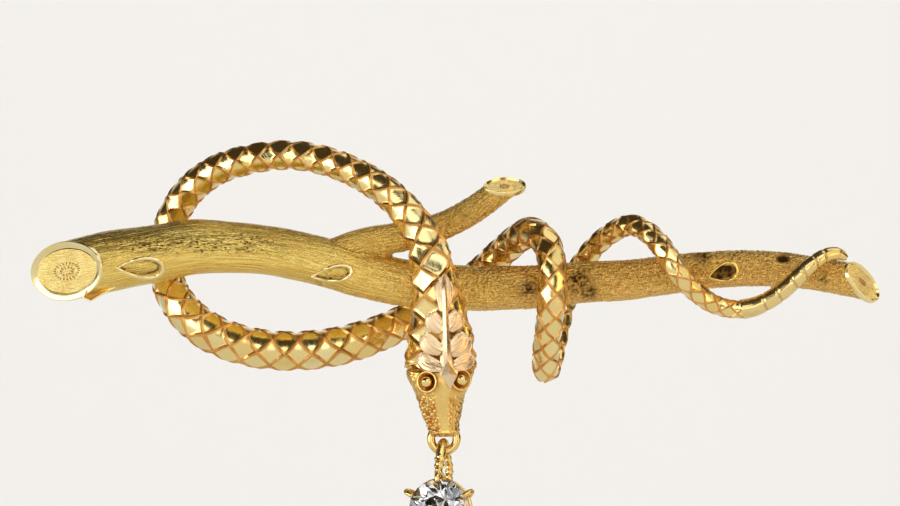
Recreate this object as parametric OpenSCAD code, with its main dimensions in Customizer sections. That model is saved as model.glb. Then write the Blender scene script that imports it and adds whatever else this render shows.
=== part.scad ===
// Gold bar brooch: a snake wound round a cut branch, with a ring and a diamond drop in its mouth.
// Millimetres. The origin is the middle of the pin at the back, +X is right, +Z up, the front is -Y.

/* [Branch] */
// How far the branch's axis lies in front of the pin
branch_forward = 5.6; // [5.5:0.05:6.5]
// How far the branch's axis lies above the pin
branch_up = 0.45; // [0.4:0.05:0.5]
// Sides of the branch's section
branch_sides = 20; // [16:2:22]
// Depth of the lengthwise furrows in the bark
furrow_depth = 0.05; // [0:0.01:0.06]
// Width of the bright rim round each sawn end
rim_width = 0.2; // [0.1:0.02:0.3]
// Depth of the sawn face inside its rim
face_depth = 0.08; // [0.02:0.01:0.12]
// How much the bark's radius changes along the branch, as a share
bark_wave = 0.012; // [0:0.002:0.02]
// Thickness of the raised lip round a knot
knot_lip = 0.24; // [0.16:0.02:0.3]

/* [Snake] */
// Length of one scale, as a share of the body's diameter
scale_pitch = 0.7; // [0.68:0.01:0.9]
// Depth of the cut between two scales
groove_depth = 0.11; // [0.04:0.01:0.14]
// Share of a scale that is its raised face
scale_face = 0.8; // [0.7:0.02:0.9]
// Thickest that the neck counts when its scales are laid out
neck_limit = 1.5; // [1.2:0.05:1.7]
// Where along the body, from the head, the scales end and the plain tail starts
scaled_length = 101; // [96:0.5:103]
// Sides of the plain tail's section
tail_sides = 14; // [10:2:20]

/* [Head] */
// Sides of the head's sections
head_sides = 24; // [20:2:28]
// Radius of the gold beads that are the eyes
eye_r = 0.34; // [0.28:0.01:0.36]
// Radius of the hollow that an eye sits in
socket_r = 0.6; // [0.55:0.01:0.7]
// Radius of the raised rim round a hollow
eye_rim_r = 0.13; // [0.1:0.01:0.14]
// Width of the slit between the jaws
mouth_gap = 0.7; // [0.68:0.01:0.78]
// Radius of the peg between the jaws, which the ring hangs on
peg_r = 0.13; // [0.1:0.01:0.14]

/* [Crest] */
// Thickness of the leaf on the head, at a lobe's middle
leaf_thick = 0.3; // [0.2:0.02:0.4]
// Gap between the leaf and the head
leaf_gap = 0.06; // [0.05:0.01:0.08]

/* [Ring] */
// Radius of the ring in the mouth, to the middle of its wire
ring_r = 0.89; // [0.88:0.01:0.9]
// Radius of the ring's wire
ring_wire_r = 0.29; // [0.26:0.01:0.3]

/* [Drop] */
// Diameter of the diamond at its girdle
stone_d = 4.48; // [4.4:0.02:4.5]
// Diameter of the diamond's table, as a share of its girdle
table_share = 0.5; // [0.44:0.01:0.6]
// Height of the diamond's crown
crown_h = 0.8; // [0.7:0.02:0.86]
// Depth of the diamond's pavilion
pavilion_h = 1.95; // [1.8:0.05:2.05]
// How far the drop is turned to the left
drop_turn = 17; // [0:1:20]
// Distance from the ring's lowest wire down to the stone's middle
stone_down = 4.12; // [4.1:0.02:4.3]
// Number of claws
claws = 6; // [4:1:8]
// Radius of the bail's wire
bail_wire_r = 0.25; // [0.2:0.01:0.26]

/* [Pin] */
// Distance between the two posts of the pin
post_span = 46.4; // [46:0.1:46.8]
// How far the pin leans down to the right, to stay behind the branch
pin_lean = 1.4; // [1.3:0.1:1.5]
// Radius of the pin
pin_r = 0.35; // [0.3:0.05:0.4]
// Radius of the posts
post_r = 0.6; // [0.5:0.05:0.65]
// Gap between the feet of the posts and the branch
post_gap = 0.12; // [0.1:0.01:0.2]

/* [Hidden] */
front = [0, -1, 0];
branch_place = [0, -branch_forward, branch_up];
pale_gold = "#d9b44a";
deep_gold = "#b8862b";
rose_gold = "#d8a070";

// The branch, from its left end. Columns: x, y, z, radius
branch_rows = [
  [-29.4, 0, -1.10, 2.10], [-26.95, 0, -0.45, 2.08], [-23.85, 0, 0.25, 2.14],
  [-21.0, 0, 0.75, 2.05], [-18.0, 0, 1.25, 1.93], [-15.45, 0, 1.25, 1.82],
  [-12.95, 0, 1.05, 1.74], [-10.45, 0, 0.60, 1.72], [-7.90, 0, -0.05, 1.72],
  [-6.25, 0, -0.60, 1.68], [-3.50, 0, -1.20, 1.65], [-0.70, 0, -1.50, 1.61],
  [2.10, 0, -1.65, 1.57], [5.55, 0, -1.55, 1.54], [8.90, 0, -1.25, 1.46],
  [12.25, 0, -1.05, 1.40], [15.60, 0, -0.65, 1.37], [18.95, 0, -0.30, 1.30],
  [22.35, 0, -0.25, 1.23], [24.85, 0, -0.50, 1.19], [27.35, 0, -0.90, 1.19],
  [30.10, 0, -1.45, 1.19]
];
// The twig, from inside the fork to its sawn tip. Columns: x, y, z, radius
twig_rows = [
  [-9.60, 0, 0.30, 1.00], [-8.40, 0, 0.65, 1.12], [-6.85, 0, 1.20, 1.14],
  [-5.25, 0, 1.70, 1.07], [-3.50, 0, 1.95, 1.04], [-1.75, 0, 2.35, 1.00],
  [0.00, 0, 2.97, 0.98], [1.75, 0, 3.95, 0.97], [3.50, 0, 5.20, 0.93],
  [5.25, 0, 6.52, 0.86]
];
// The planes of the three sawn ends. Columns: point on the plane, normal
left_cut = [[-27.0, 0, -0.5], [1, 1.23, 0.12]];
right_cut = [[28.97, 0, -1.2], [1, -0.74, 0.42]];
twig_cut = [[3.88, 0, 5.6], [0.2, -0.75, 1]];
// The knots on the branch's front. Columns: x, z, length, height
knots = [[-21.65, -0.2, 3.2, 1.4], [-8.25, -0.6, 2.8, 1.15], [19.1, -0.55, 2.1, 1.35]];
// Small pits in the bark. Columns: x, y, z, radius
pits = [[23.3, -0.85, 0.5, 0.26], [-18.5, -1.45, 2.3, 0.2], [-17.0, -1.4, 2.35, 0.18],
        [-14.6, -1.3, 2.25, 0.2], [11.2, -1.2, -0.2, 0.2]];

// The snake's middle line, from the head to the tail's tip.
// Columns: x, y (behind the branch's axis is +), z, half width, half thickness
snake_rows = [
  [-0.65, -2.95, -6.95, 2.52, 1.72], [-0.68, -3.10, -5.45, 2.52, 1.75],
  [-0.76, -3.35, -3.50, 2.22, 1.68], [-0.96, -3.45, -1.75, 1.93, 1.62],
  [-1.26, -3.35, -0.05, 1.71, 1.54], [-1.78, -2.95, 1.75, 1.46, 1.40],
  [-2.95, -2.55, 3.60, 1.28, 1.28], [-4.60, -2.00, 5.22, 1.19, 1.19],
  [-6.70, -1.20, 6.50, 1.13, 1.13], [-8.95, -0.40, 7.35, 1.12, 1.12],
  [-11.35, 0.30, 7.70, 1.12, 1.12], [-13.85, 1.00, 7.45, 1.14, 1.14],
  [-16.35, 1.80, 6.68, 1.16, 1.16], [-18.35, 2.60, 5.18, 1.19, 1.19],
  [-19.60, 3.30, 3.12, 1.22, 1.22], [-20.05, 3.50, 0.90, 1.26, 1.26],
  [-19.80, 3.00, -1.30, 1.30, 1.30], [-18.65, 2.20, -3.27, 1.40, 1.40],
  [-16.75, 1.60, -4.78, 1.49, 1.49], [-14.15, 1.30, -5.72, 1.50, 1.50],
  [-11.35, 1.30, -6.03, 1.49, 1.49], [-8.40, 1.60, -5.80, 1.48, 1.48],
  [-5.75, 2.30, -5.10, 1.41, 1.41], [-3.35, 3.00, -4.05, 1.30, 1.30],
  [-1.30, 3.20, -2.75, 1.22, 1.22], [0.75, 3.20, -1.62, 1.19, 1.19],
  [2.25, 3.05, -0.45, 1.17, 1.17], [3.50, 2.45, 0.74, 1.15, 1.15],
  [4.66, 1.40, 1.76, 1.14, 1.14], [5.68, -0.05, 2.32, 1.13, 1.13],
  [6.73, -1.60, 1.52, 1.11, 1.11], [7.15, -2.70, -0.20, 1.09, 1.09], [7.10, -2.80, -2.25, 1.08, 1.08],
  [6.95, -2.20, -4.25, 1.07, 1.07], [6.72, -1.20, -6.10, 1.05, 1.05],
  [6.75, 0.10, -7.37, 1.01, 1.01], [7.12, 1.40, -6.30, 0.98, 0.98],
  [7.55, 2.30, -4.40, 0.96, 0.96], [8.05, 2.70, -2.50, 0.93, 0.93],
  [8.80, 2.60, -0.78, 0.89, 0.89], [9.70, 2.00, 0.70, 0.84, 0.84],
  [10.95, 1.10, 1.98, 0.81, 0.81], [12.60, -0.10, 2.80, 0.81, 0.81],
  [14.00, -1.30, 2.15, 0.83, 0.83], [15.05, -2.10, 0.90, 0.84, 0.84],
  [15.95, -2.40, -0.55, 0.83, 0.83], [17.15, -2.10, -1.83, 0.79, 0.79],
  [18.60, -1.60, -2.80, 0.72, 0.72], [20.40, -1.40, -3.10, 0.68, 0.68],
  [22.05, -1.60, -2.58, 0.64, 0.64], [23.55, -1.95, -1.55, 0.60, 0.60],
  [24.90, -2.05, -0.25, 0.56, 0.56], [26.10, -1.65, 0.60, 0.52, 0.52],
  [27.05, -1.20, 0.80, 0.46, 0.46], [27.60, -1.00, 0.57, 0.30, 0.30]
];
// The head below the scales, down to the lips. Columns: z, x, half width, front y, back y
head_rows = [
  [-5.95, -0.68, 2.36, -4.70, -1.48], [-6.80, -0.66, 2.47, -4.80, -1.42],
  [-7.35, -0.68, 2.43, -4.95, -1.50], [-7.90, -0.70, 2.27, -5.05, -1.60],
  [-8.45, -0.68, 2.00, -5.02, -1.75], [-8.95, -0.66, 1.77, -4.90, -1.85],
  [-9.45, -0.65, 1.61, -4.78, -1.95], [-10.00, -0.61, 1.47, -4.66, -2.05],
  [-10.55, -0.56, 1.34, -4.56, -2.15], [-11.15, -0.50, 1.14, -4.47, -2.25],
  [-11.55, -0.44, 1.12, -4.43, -2.32], [-11.85, -0.46, 0.92, -4.30, -2.45],
  [-11.98, -0.46, 0.62, -4.10, -2.70]
];
// The eyes. Columns: x, z
eyes = [[-1.61, -8.12], [0.77, -7.98]];
// The leaf's lobes on the head. Columns: x and z at the root, x and z at the tip, half width, point
lobes = [
  [-0.40, -3.20, -0.50, -0.72, 0.56, 0.9],
  [-0.04, -4.55, 0.72, -3.32, 0.58, 0.5], [0.02, -6.15, 1.36, -4.95, 0.72, 0.5],
  [0.22, -7.00, 1.68, -6.35, 0.48, 0.5],
  [-0.62, -4.65, -1.52, -3.35, 0.58, 0.5], [-0.62, -6.05, -1.98, -4.92, 0.60, 0.5],
  [-0.62, -7.15, -2.30, -6.38, 0.50, 0.5]
];
// The leaf's rib and the kite at its foot, from above. Columns: x, z, half width, height
rib_rows = [
  [-0.51, -0.85, 0.07, 0.22], [-0.48, -1.60, 0.10, 0.34], [-0.43, -2.40, 0.12, 0.40],
  [-0.38, -3.30, 0.15, 0.42], [-0.34, -4.20, 0.20, 0.44], [-0.31, -5.10, 0.26, 0.46],
  [-0.27, -5.90, 0.32, 0.46], [-0.22, -6.70, 0.38, 0.46], [-0.12, -7.85, 0.48, 0.36],
  [-0.12, -8.60, 0.08, 0.22]
];
// The bail's middle line beside the ring. Columns: forward (-) or back (+), up, radius as a share
bail_front = [[-0.88, -0.55, 1.08], [-1.16, -1.05, 1.16], [-1.34, -1.45, 1.2], [-1.3, -1.75, 1.2]];
bail_back = [[0.93, -0.5, 1.04], [1.24, -1, 1.08], [1.3, -1.5, 1.1], [1.1, -1.98, 1.1]];
bail_arch_r = 0.63;
// The claws' middle line. Columns: distance out from the stone's axis, forward (-), radius as a share
claw_rows = [[2.14, -0.35, 1.15], [2.68, -1.15, 1], [2.52, -1.64, 0.95], [2.07, -1.76, 0.8]];

mouth_y = -3.2;
mouth_top = -10.7;
ring_centre = [-0.43, mouth_y, -12.11];
peg_centre = ring_centre + [0, 0, ring_r - ring_wire_r - peg_r - 0.04];
drop_pivot = ring_centre - [0, 0, ring_r];
girdle_y = -1.2;
stone_back = 0.12;
girdle_h = 0.1;
collet_front = -0.85;
collet_back = 1.3;
claw_wire_r = 0.19;

function unit(v) = v / norm(v);
function place(row) = [row[0], row[1], row[2]];

// A row of a table, with one more row led on past each end
function row_at(rows, i) = i < 0 ? 2 * rows[0] - rows[1]
  : i >= len(rows) ? 2 * rows[len(rows) - 1] - rows[len(rows) - 2] : rows[i];

// A smooth line through four rows, between the middle two
function blend(a, b, c, d, t) =
  0.5 * (2 * b + (c - a) * t + (2 * a - 5 * b + 4 * c - d) * t * t + (3 * b - a - 3 * c + d) * t * t * t);
function smooth(rows, steps) = concat(
  [for (i = [0 : len(rows) - 2], k = [0 : steps - 1])
    blend(row_at(rows, i - 1), row_at(rows, i), row_at(rows, i + 1), row_at(rows, i + 2), k / steps)],
  [rows[len(rows) - 1]]);

function tangent_at(rows, i) = unit(place(row_at(rows, i + 1)) - place(row_at(rows, i - 1)));

// One round section: points at equal angles in the plane of u and v, with the radius from radii
function ring(c, u, v, radii) = let(n = len(radii))
  [for (j = [0 : n - 1]) c + radii[j] * (cos(360 * j / n) * u + sin(360 * j / n) * v)];

// A closed solid through a list of sections with the same number of points
module skin(rings, first, last) {
  n = len(rings[0]);
  m = len(rings);
  tip = m * n;
  polyhedron(
    points = concat([for (r = rings) each r], [first, last]),
    faces = concat(
      [for (i = [0 : m - 2], j = [0 : n - 1]) [i * n + j, (i + 1) * n + j, (i + 1) * n + (j + 1) % n]],
      [for (i = [0 : m - 2], j = [0 : n - 1]) [i * n + j, (i + 1) * n + (j + 1) % n, i * n + (j + 1) % n]],
      [for (j = [0 : n - 1]) [tip, j, (j + 1) % n]],
      [for (j = [0 : n - 1]) [tip + 1, (m - 1) * n + (j + 1) % n, (m - 1) * n + j]]));
}

// A tube along rows of x, y, z, radius that lie in one plane with the given normal
module tube(rows, normal, sides) {
  rings = [for (i = [0 : len(rows) - 1])
    ring(place(rows[i]), cross(normal, tangent_at(rows, i)), normal, [for (j = [1 : sides]) rows[i][3]])];
  skin(rings, place(rows[0]), place(rows[len(rows) - 1]));
}

// The branch and its twig

function bark_radii(r, i) = [for (j = [0 : branch_sides - 1])
  r * (1 + bark_wave * sin(137 * i + 50 * j)) - furrow_depth * (j % 2)];
function bark_rings(rows) = [for (i = [0 : len(rows) - 1])
  ring(place(rows[i]), cross(front, tangent_at(rows, i)), front, bark_radii(rows[i][3], i))];

// A section slid along t until it lies in the plane of a cut
function slide_to(points, t, cut) = [for (p = points) p + t * (((cut[0] - p) * cut[1]) / (t * cut[1]))];
// The rim and the sunk face of a sawn end, from the outside in
function middle(points) = [for (k = [0 : 2]) [for (p = points) p[k]] * [for (p = points) 1 / len(points)]];
function inset(points, share) = let(c = middle(points)) [for (p = points) c + (p - c) * share];
function sawn(points, inward) = let(
    share = 1 - rim_width / norm(points[0] - middle(points)),
    sunk = [for (p = inset(points, share - 0.02)) p + inward * face_depth])
  [points, inset(points, share), sunk];
function back_to_front(list) = [for (i = [len(list) - 1 : -1 : 0]) list[i]];

module stem() {
  rows = smooth(branch_rows, 2);
  all_rings = bark_rings(rows);
  last = len(rows) - 1;
  left_t = unit(place(rows[4]) - place(rows[0]));
  right_t = unit(place(rows[last]) - place(rows[last - 4]));
  left_end = sawn(slide_to(all_rings[3], left_t, left_cut), unit(left_cut[1]));
  right_end = sawn(slide_to(all_rings[last - 3], right_t, right_cut), -unit(right_cut[1]));
  kept = [for (i = [6 : last - 5]) all_rings[i]];
  skin(concat(back_to_front(left_end), kept, right_end), middle(left_end[2]), middle(right_end[2]));
}

module twig() {
  all_rings = bark_rings(twig_rows);
  last = len(twig_rows) - 1;
  t = unit(place(twig_rows[last]) - place(twig_rows[last - 2]));
  end = sawn(slide_to(all_rings[last - 1], t, twig_cut), -unit(twig_cut[1]));
  kept = [for (i = [0 : last - 2]) all_rings[i]];
  skin(concat(kept, end), place(twig_rows[0]), middle(end[2]));
}

// The web of metal in the fork, between the stem and the twig, thinner to the right
web_start = [-8.6, 0, 0.1];
web_end = [-5.24, 0, 0.26];
module web_section(share) {
  translate(web_start + share * (web_end - web_start)) rotate([90, 0, 0])
    cylinder(h = 2.2 - 1.28 * share, r = 0.95 - 0.36 * share, center = true, $fn = 8);
}
module fork_web() {
  steps = 8;
  for (i = [0 : steps - 1]) hull() {
    web_section(i / steps);
    web_section((i + 1) / steps);
  }
}

// Height of the stem's front face, and of its axis, at x
stem_axis = [for (r = branch_rows) [r[0], r[2]]];
stem_size = [for (r = branch_rows) [r[0], r[3]]];
function bark_y(x, z) = -sqrt(max(0.04, pow(lookup(x, stem_size), 2) - pow(z - lookup(x, stem_axis), 2)));

// A knot's outline is a drop, round on the right and drawn out to a point on the left
function knot_point(k, a) = let(
    x = k[0] + k[2] / 2 * cos(a), z = k[1] + k[3] / 2 * sin(a) * (0.72 + 0.28 * cos(a)))
  [x, bark_y(x, z) + 0.02, z];
module knot_lip_ring(k) {
  steps = 20;
  rows = [for (i = [0 : steps]) knot_point(k, i * 360 / steps)];
  radii = [for (j = [1 : 5]) knot_lip / 2];
  rings = [for (i = [0 : steps - 1]) let(
      t = unit(place(rows[i + 1]) - place(rows[(i + steps - 1) % steps])),
      side = unit(cross(front, t)))
    ring(place(rows[i]), side, cross(t, side), radii)];
  closed_tube(rings);
}
module closed_tube(rings) {
  m = len(rings);
  n = len(rings[0]);
  polyhedron(
    points = [for (r = rings) each r],
    faces = [for (i = [0 : m - 1], j = [0 : n - 1], half = [0, 1]) let(i2 = (i + 1) % m, j2 = (j + 1) % n)
      half == 0 ? [i * n + j, i2 * n + j, i2 * n + j2] : [i * n + j, i2 * n + j2, i * n + j2]]);
}
module knot_hollow(k) {
  translate([k[0] + 0.1, bark_y(k[0], k[1]) - 0.12, k[1]])
    scale([k[2] * 0.36, 0.24, k[3] * 0.34]) sphere(r = 1, $fn = 16);
}

module branch() {
  color(deep_gold) translate(branch_place) difference() {
    union() {
      stem();
      twig();
      fork_web();
      for (k = knots) knot_lip_ring(k);
    }
    for (k = knots) knot_hollow(k);
    for (p = pits) translate([p[0], p[1], p[2]]) scale([1.6, 1, 0.8]) sphere(r = p[3], $fn = 10);
  }
}

// The snake's body

route = smooth(snake_rows, 6);
route_s = [for (i = 0, s = 0; i < len(route);
  s = s + (i < len(route) - 1 ? norm(place(route[i + 1]) - place(route[i])) : 0), i = i + 1) s];
route_end = route_s[len(route) - 1];
// The direction that started as the head's front, carried along without twist
route_n = [for (i = 0, n = front; i < len(route);
  i = i + 1, n = i < len(route) ? carried(n, tangent_at(route, i)) : n) n];
function carried(n, t) = unit(n - (n * t) * t);
function column(list, k) = [for (i = [0 : len(list) - 1]) [route_s[i], list[i][k]]];
route_x = column(route, 0);
route_y = column(route, 1);
route_z = column(route, 2);
route_w = column(route, 3);
route_t = column(route, 4);
normal_x = column(route_n, 0);
normal_y = column(route_n, 1);
normal_z = column(route_n, 2);
function centre(s) = [lookup(s, route_x), lookup(s, route_y), lookup(s, route_z)];
function along(s) = unit(centre(s + 0.1) - centre(s - 0.1));
function body_front(s) = carried([lookup(s, normal_x), lookup(s, normal_y), lookup(s, normal_z)], along(s));
// A point of the skin at a distance s from the head and an angle a from the front, sunk by depth
function skin_point(s, a, depth) = let(f = body_front(s), b = cross(along(s), f))
  centre(s) + (lookup(s, route_w) - depth) * sin(a) * b + (lookup(s, route_t) - depth) * cos(a) * f;

// Rows of scales half a scale apart, each longer where the body is thicker
function half_scale(s) = scale_pitch * min(lookup(s, route_w), lookup(s, route_t), neck_limit);
scale_s = [for (s = 0; s < scaled_length; s = s + half_scale(s)) s];
round_count = 4;
scale_turn = 360 / round_count;
function scale_angle(i, k) = k * scale_turn + (i % 2) * scale_turn / 2 + scale_turn / 4;
function crossing_angle(i, k) = k * scale_turn + ((i + 1) % 2) * scale_turn / 2 + scale_turn / 4;

// One scale: the four raised corners of its face
function scale_points(i, k) = let(
    s = scale_s[i], a = scale_angle(i, k), f = scale_face,
    before = s - f * (s - scale_s[i - 1]), after = s + f * (scale_s[i + 1] - s))
  [skin_point(before, a, 0), skin_point(s, a + f * scale_turn / 2, 0),
   skin_point(after, a, 0), skin_point(s, a - f * scale_turn / 2, 0)];

// The scales are lozenges between crossing cuts: tip, side, tip, side round a raised middle
module scaled_body() {
  rows = len(scale_s);
  n = round_count;
  first_scale = rows * n;
  last_point = first_scale + (rows - 2) * n * 4;
  function cut(i, k) = i * n + (k + n) % n;
  function raised(i, k, c) = first_scale + ((i - 1) * n + k) * 4 + c;
  end = rows - 2;
  turn = end % 2;
  polyhedron(
    points = concat(
      [for (i = [0 : rows - 1], k = [0 : n - 1]) skin_point(scale_s[i], crossing_angle(i, k), groove_depth)],
      [for (i = [1 : rows - 2], k = [0 : n - 1]) each scale_points(i, k)],
      [centre(scale_s[0]), centre(scale_s[rows - 1])]),
    faces = concat(
      [for (i = [1 : rows - 2], k = [0 : n - 1]) let(
          odd = i % 2,
          corner = [cut(i - 1, k), cut(i, k + odd), cut(i + 1, k), cut(i, k - 1 + odd)])
        each [for (c = [0 : 3]) let(
            d = (c + 1) % 4, a = corner[c], b = corner[d], p = raised(i, k, c), q = raised(i, k, d))
          each [[b, a, p], [b, p, q]]]],
      [for (i = [1 : rows - 2], k = [0 : n - 1]) each [
        [raised(i, k, 2), raised(i, k, 1), raised(i, k, 0)],
        [raised(i, k, 0), raised(i, k, 3), raised(i, k, 2)]]],
      [for (k = [0 : n - 1]) each [
        [cut(0, k), cut(1, k + 1), last_point],
        [cut(1, k), cut(0, k), last_point]]],
      [for (k = [0 : n - 1]) each [
        [cut(end, k + turn), cut(end + 1, k), last_point + 1],
        [cut(end + 1, k), cut(end, k - 1 + turn), last_point + 1]]]));
}

// The plain tail, with a rounded tip
module tail() {
  start = scale_s[len(scale_s) - 3];
  steps = 20;
  stations = [for (i = [0 : steps]) start + (route_end - start) * i / steps];
  rings = [for (s = stations) [for (j = [0 : tail_sides - 1])
    skin_point(s, j * 360 / tail_sides, s == start ? 0.08 : 0.02)]];
  end = centre(route_end);
  out = along(route_end - 0.2);
  tip = [for (p = rings[steps]) end + (p - end) * 0.6 + out * 0.16];
  skin(concat(rings, [tip]), centre(start), end + out * 0.24);
}

// The head

module head_section(r) {
  translate([r[1], (r[3] + r[4]) / 2, r[0]]) scale([r[2], (r[4] - r[3]) / 2, 1])
    cylinder(h = 0.02, r = 1, center = true, $fn = head_sides);
}
module skull() {
  for (i = [0 : len(head_rows) - 2]) hull() {
    head_section(head_rows[i]);
    head_section(head_rows[i + 1]);
  }
}

// The front of the head and neck at x and z, from the sections' ovals
jaw_top = -6.5;
head_bed = [for (r = back_to_front(head_rows)) if (r[0] < jaw_top)
  [r[0], r[1], r[2], (r[3] + r[4]) / 2, (r[4] - r[3]) / 2]];
neck_bed = [for (i = [1 : 5]) let(r = snake_rows[i]) [r[2], r[0], r[3], r[1], r[4]]];
bed = concat(head_bed, neck_bed);
function bed_at(z, k) = lookup(z, [for (r = bed) [r[0], r[k]]]);
function head_y(x, z) = let(u = (x - bed_at(z, 1)) / bed_at(z, 2))
  bed_at(z, 3) - bed_at(z, 4) * sqrt(max(0.05, 1 - u * u));
function head_out(x, z) = let(u = (x - bed_at(z, 1)) / bed_at(z, 2))
  unit([u / bed_at(z, 2), -sqrt(max(0.05, 1 - u * u)) / bed_at(z, 4), 0]);
function eye_place(e) = [e[0], head_y(e[0], e[1]), e[1]] + head_out(e[0], e[1]) * 0.02;

// Turns a thing that stands along +Z so that it stands out of the head at an eye
module at_eye(e) {
  out = head_out(e[0], e[1]);
  translate(eye_place(e)) rotate([90, 0, atan2(out[0], -out[1])]) children();
}
module eye_rim() {
  rotate_extrude($fn = 18) translate([socket_r - 0.03, -0.02]) circle(r = eye_rim_r, $fn = 5);
}

module snake() {
  color(pale_gold) translate(branch_place) union() {
    difference() {
      union() {
        scaled_body();
        tail();
        skull();
        for (e = eyes) at_eye(e) eye_rim();
      }
      for (e = eyes) at_eye(e) translate([0, 0, 0.22]) sphere(r = socket_r - 0.02, $fn = 16);
      translate([-4, mouth_y - mouth_gap / 2, mouth_top - 3]) cube([7, mouth_gap, 3]);
    }
    translate(peg_centre) rotate([90, 0, 0])
      cylinder(h = mouth_gap + 0.4, r = peg_r, center = true, $fn = 16);
  }
}

module eye(e) {
  color(pale_gold) translate(branch_place) translate(eye_place(e) + head_out(e[0], e[1]) * 0.03)
    sphere(r = eye_r, $fn = 32);
}
module eye_left() eye(eyes[0]);
module eye_right() eye(eyes[1]);

// The rose gold leaf on the head

// A lobe lies on the head: it widens from its root and is round or pointed at its tip
lobe_widest = 0.62;
function lobe_width(l, u) = l[4] * (u < lobe_widest ? 0.42 + 0.58 * sin(90 * u / lobe_widest)
  : pow(1 - pow((u - lobe_widest) / (1.04 - lobe_widest), 2), l[5]));
function lobe_point(l, u, v, lift) = let(
    root = [l[0], l[1]], tip = [l[2], l[3]], d = tip - root, across = [d[1], -d[0]] / norm(d),
    p = root + d * u + across * lobe_width(l, u) * v, y = head_y(p[0], p[1]), out = head_out(p[0], p[1]))
  [p[0], y, p[1]] + out * lift;
module lobe(l) {
  m = 6;
  n = 6;
  function at(i, j, top) = top * (m + 1) * (n + 1) + i * (n + 1) + j;
  points = [for (top = [0, 1], i = [0 : m], j = [0 : n]) let(
      u = 1 - pow(1 - i / m, 1.5),
      v = 2 * j / n - 1,
      groove = (j == 2 || j == 4) ? 0.55 : 1,
      thick = 0.1 + leaf_thick * (1 - v * v) * groove * (1 - 0.5 * u))
    lobe_point(l, u, v, leaf_gap + top * thick)];
  edge = concat([for (j = [0 : n - 1]) [0, j]], [for (i = [0 : m - 1]) [i, n]],
    [for (j = [n : -1 : 1]) [m, j]], [for (i = [m : -1 : 1]) [i, 0]]);
  faces = concat(
    [for (i = [0 : m - 1], j = [0 : n - 1]) each [
      [at(i, j, 1), at(i + 1, j + 1, 1), at(i, j + 1, 1)],
      [at(i, j, 1), at(i + 1, j, 1), at(i + 1, j + 1, 1)],
      [at(i, j, 0), at(i, j + 1, 0), at(i + 1, j + 1, 0)],
      [at(i, j, 0), at(i + 1, j + 1, 0), at(i + 1, j, 0)]]],
    [for (e = [0 : len(edge) - 1]) let(a = edge[e], b = edge[(e + 1) % len(edge)]) each [
      [at(a[0], a[1], 0), at(b[0], b[1], 1), at(b[0], b[1], 0)],
      [at(a[0], a[1], 0), at(a[0], a[1], 1), at(b[0], b[1], 1)]]]);
  polyhedron(points = points, faces = faces);
}
// The rib is a ridge with a flat underside, and ends below in a kite
module rib_section(r) {
  y = min([for (side = [-1, 0, 1]) head_y(r[0] + side * r[2], r[1])]);
  translate([r[0], y - leaf_gap - 0.01, r[1]]) rotate([90, 0, 0])
    cylinder(h = r[3], r1 = r[2], r2 = r[2] * 0.3, $fn = 8);
}
module crest_leaf() {
  color(rose_gold) translate(branch_place) union() {
    for (l = lobes) lobe(l);
    for (i = [0 : len(rib_rows) - 2]) hull() {
      rib_section(rib_rows[i]);
      rib_section(rib_rows[i + 1]);
    }
  }
}

// The pin at the back, in one piece with its two posts and their feet
module post(side) {
  x = side * post_span / 2;
  foot_r = post_r * 1.5;
  off_axis = abs(-x * tan(pin_lean) - branch_up - lookup(x, stem_axis));
  nearest = max(0, off_axis - foot_r);
  behind = branch_forward - sqrt(pow(lookup(x, stem_size), 2) - nearest * nearest) - post_gap;
  translate([x, -behind, -x * tan(pin_lean)]) rotate([-90, 0, 0]) {
    cylinder(h = behind, r = post_r, $fn = 32);
    cylinder(h = 0.5, r1 = foot_r, r2 = post_r * 1.2, $fn = 32);
  }
}
module brooch_pin() {
  color(pale_gold) union() {
    rotate([0, 90 + pin_lean, 0]) cylinder(h = post_span + 1.6, r = pin_r, center = true, $fn = 32);
    post(-1);
    post(1);
    for (side = [-1, 1]) translate([side * post_span / 2, 0, -side * post_span / 2 * tan(pin_lean)])
      sphere(r = post_r * 1.15, $fn = 32);
  }
}

// The ring in the snake's mouth
module mouth_ring() {
  color(pale_gold) translate(branch_place + ring_centre) rotate([90, 0, 0])
    rotate_extrude($fn = 64) translate([ring_r, 0]) circle(r = ring_wire_r, $fn = 24);
}

// The drop hangs from the ring's lowest wire. Inside it, -Y is where the stone faces.
module in_drop() {
  translate(branch_place + drop_pivot) rotate([0, 0, -drop_turn]) children();
}
// The stone and its setting sit a little behind the ring, so that the drop hangs level
module at_stone() {
  translate([0, stone_back, -stone_down]) children();
}
module bail() {
  arch = [for (a = [0 : 20 : 180]) [0, -bail_arch_r * cos(a), bail_arch_r * sin(a), bail_wire_r]];
  function leg(r) = [0, r[0], r[1], bail_wire_r * r[2]];
  front_leg = [for (r = back_to_front(bail_front)) leg(r)];
  back_leg = [for (r = bail_back) leg(r)];
  tube(concat(front_leg, arch, back_leg), [1, 0, 0], 8);
}
// A claw rises from the collet and bends over the stone's edge
module claw_bead(r) {
  translate([0, r[1], r[0]]) rotate([20, 12, 9]) sphere(r = claw_wire_r * r[2], $fn = 7);
}
module claw() {
  for (i = [0 : len(claw_rows) - 2]) hull() {
    claw_bead(claw_rows[i]);
    claw_bead(claw_rows[i + 1]);
  }
}
module collet() {
  wall = [[2.02, -collet_front], [2.3, -collet_front - 0.05], [2.3, -collet_front - 0.35],
          [2.2, -collet_front - 0.5], [2.2, -collet_back + 0.45], [2.27, -collet_back + 0.3],
          [2.27, -collet_back], [1.7, -collet_back], [1.8, -collet_front - 0.7]];
  rotate([90, 0, 0]) rotate_extrude($fn = 36) polygon(wall);
}
module drop_setting() {
  color(pale_gold) in_drop() union() {
    bail();
    at_stone() {
      collet();
      for (i = [0 : claws - 1]) rotate([0, i * 360 / claws, 0]) claw();
    }
  }
}

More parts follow.
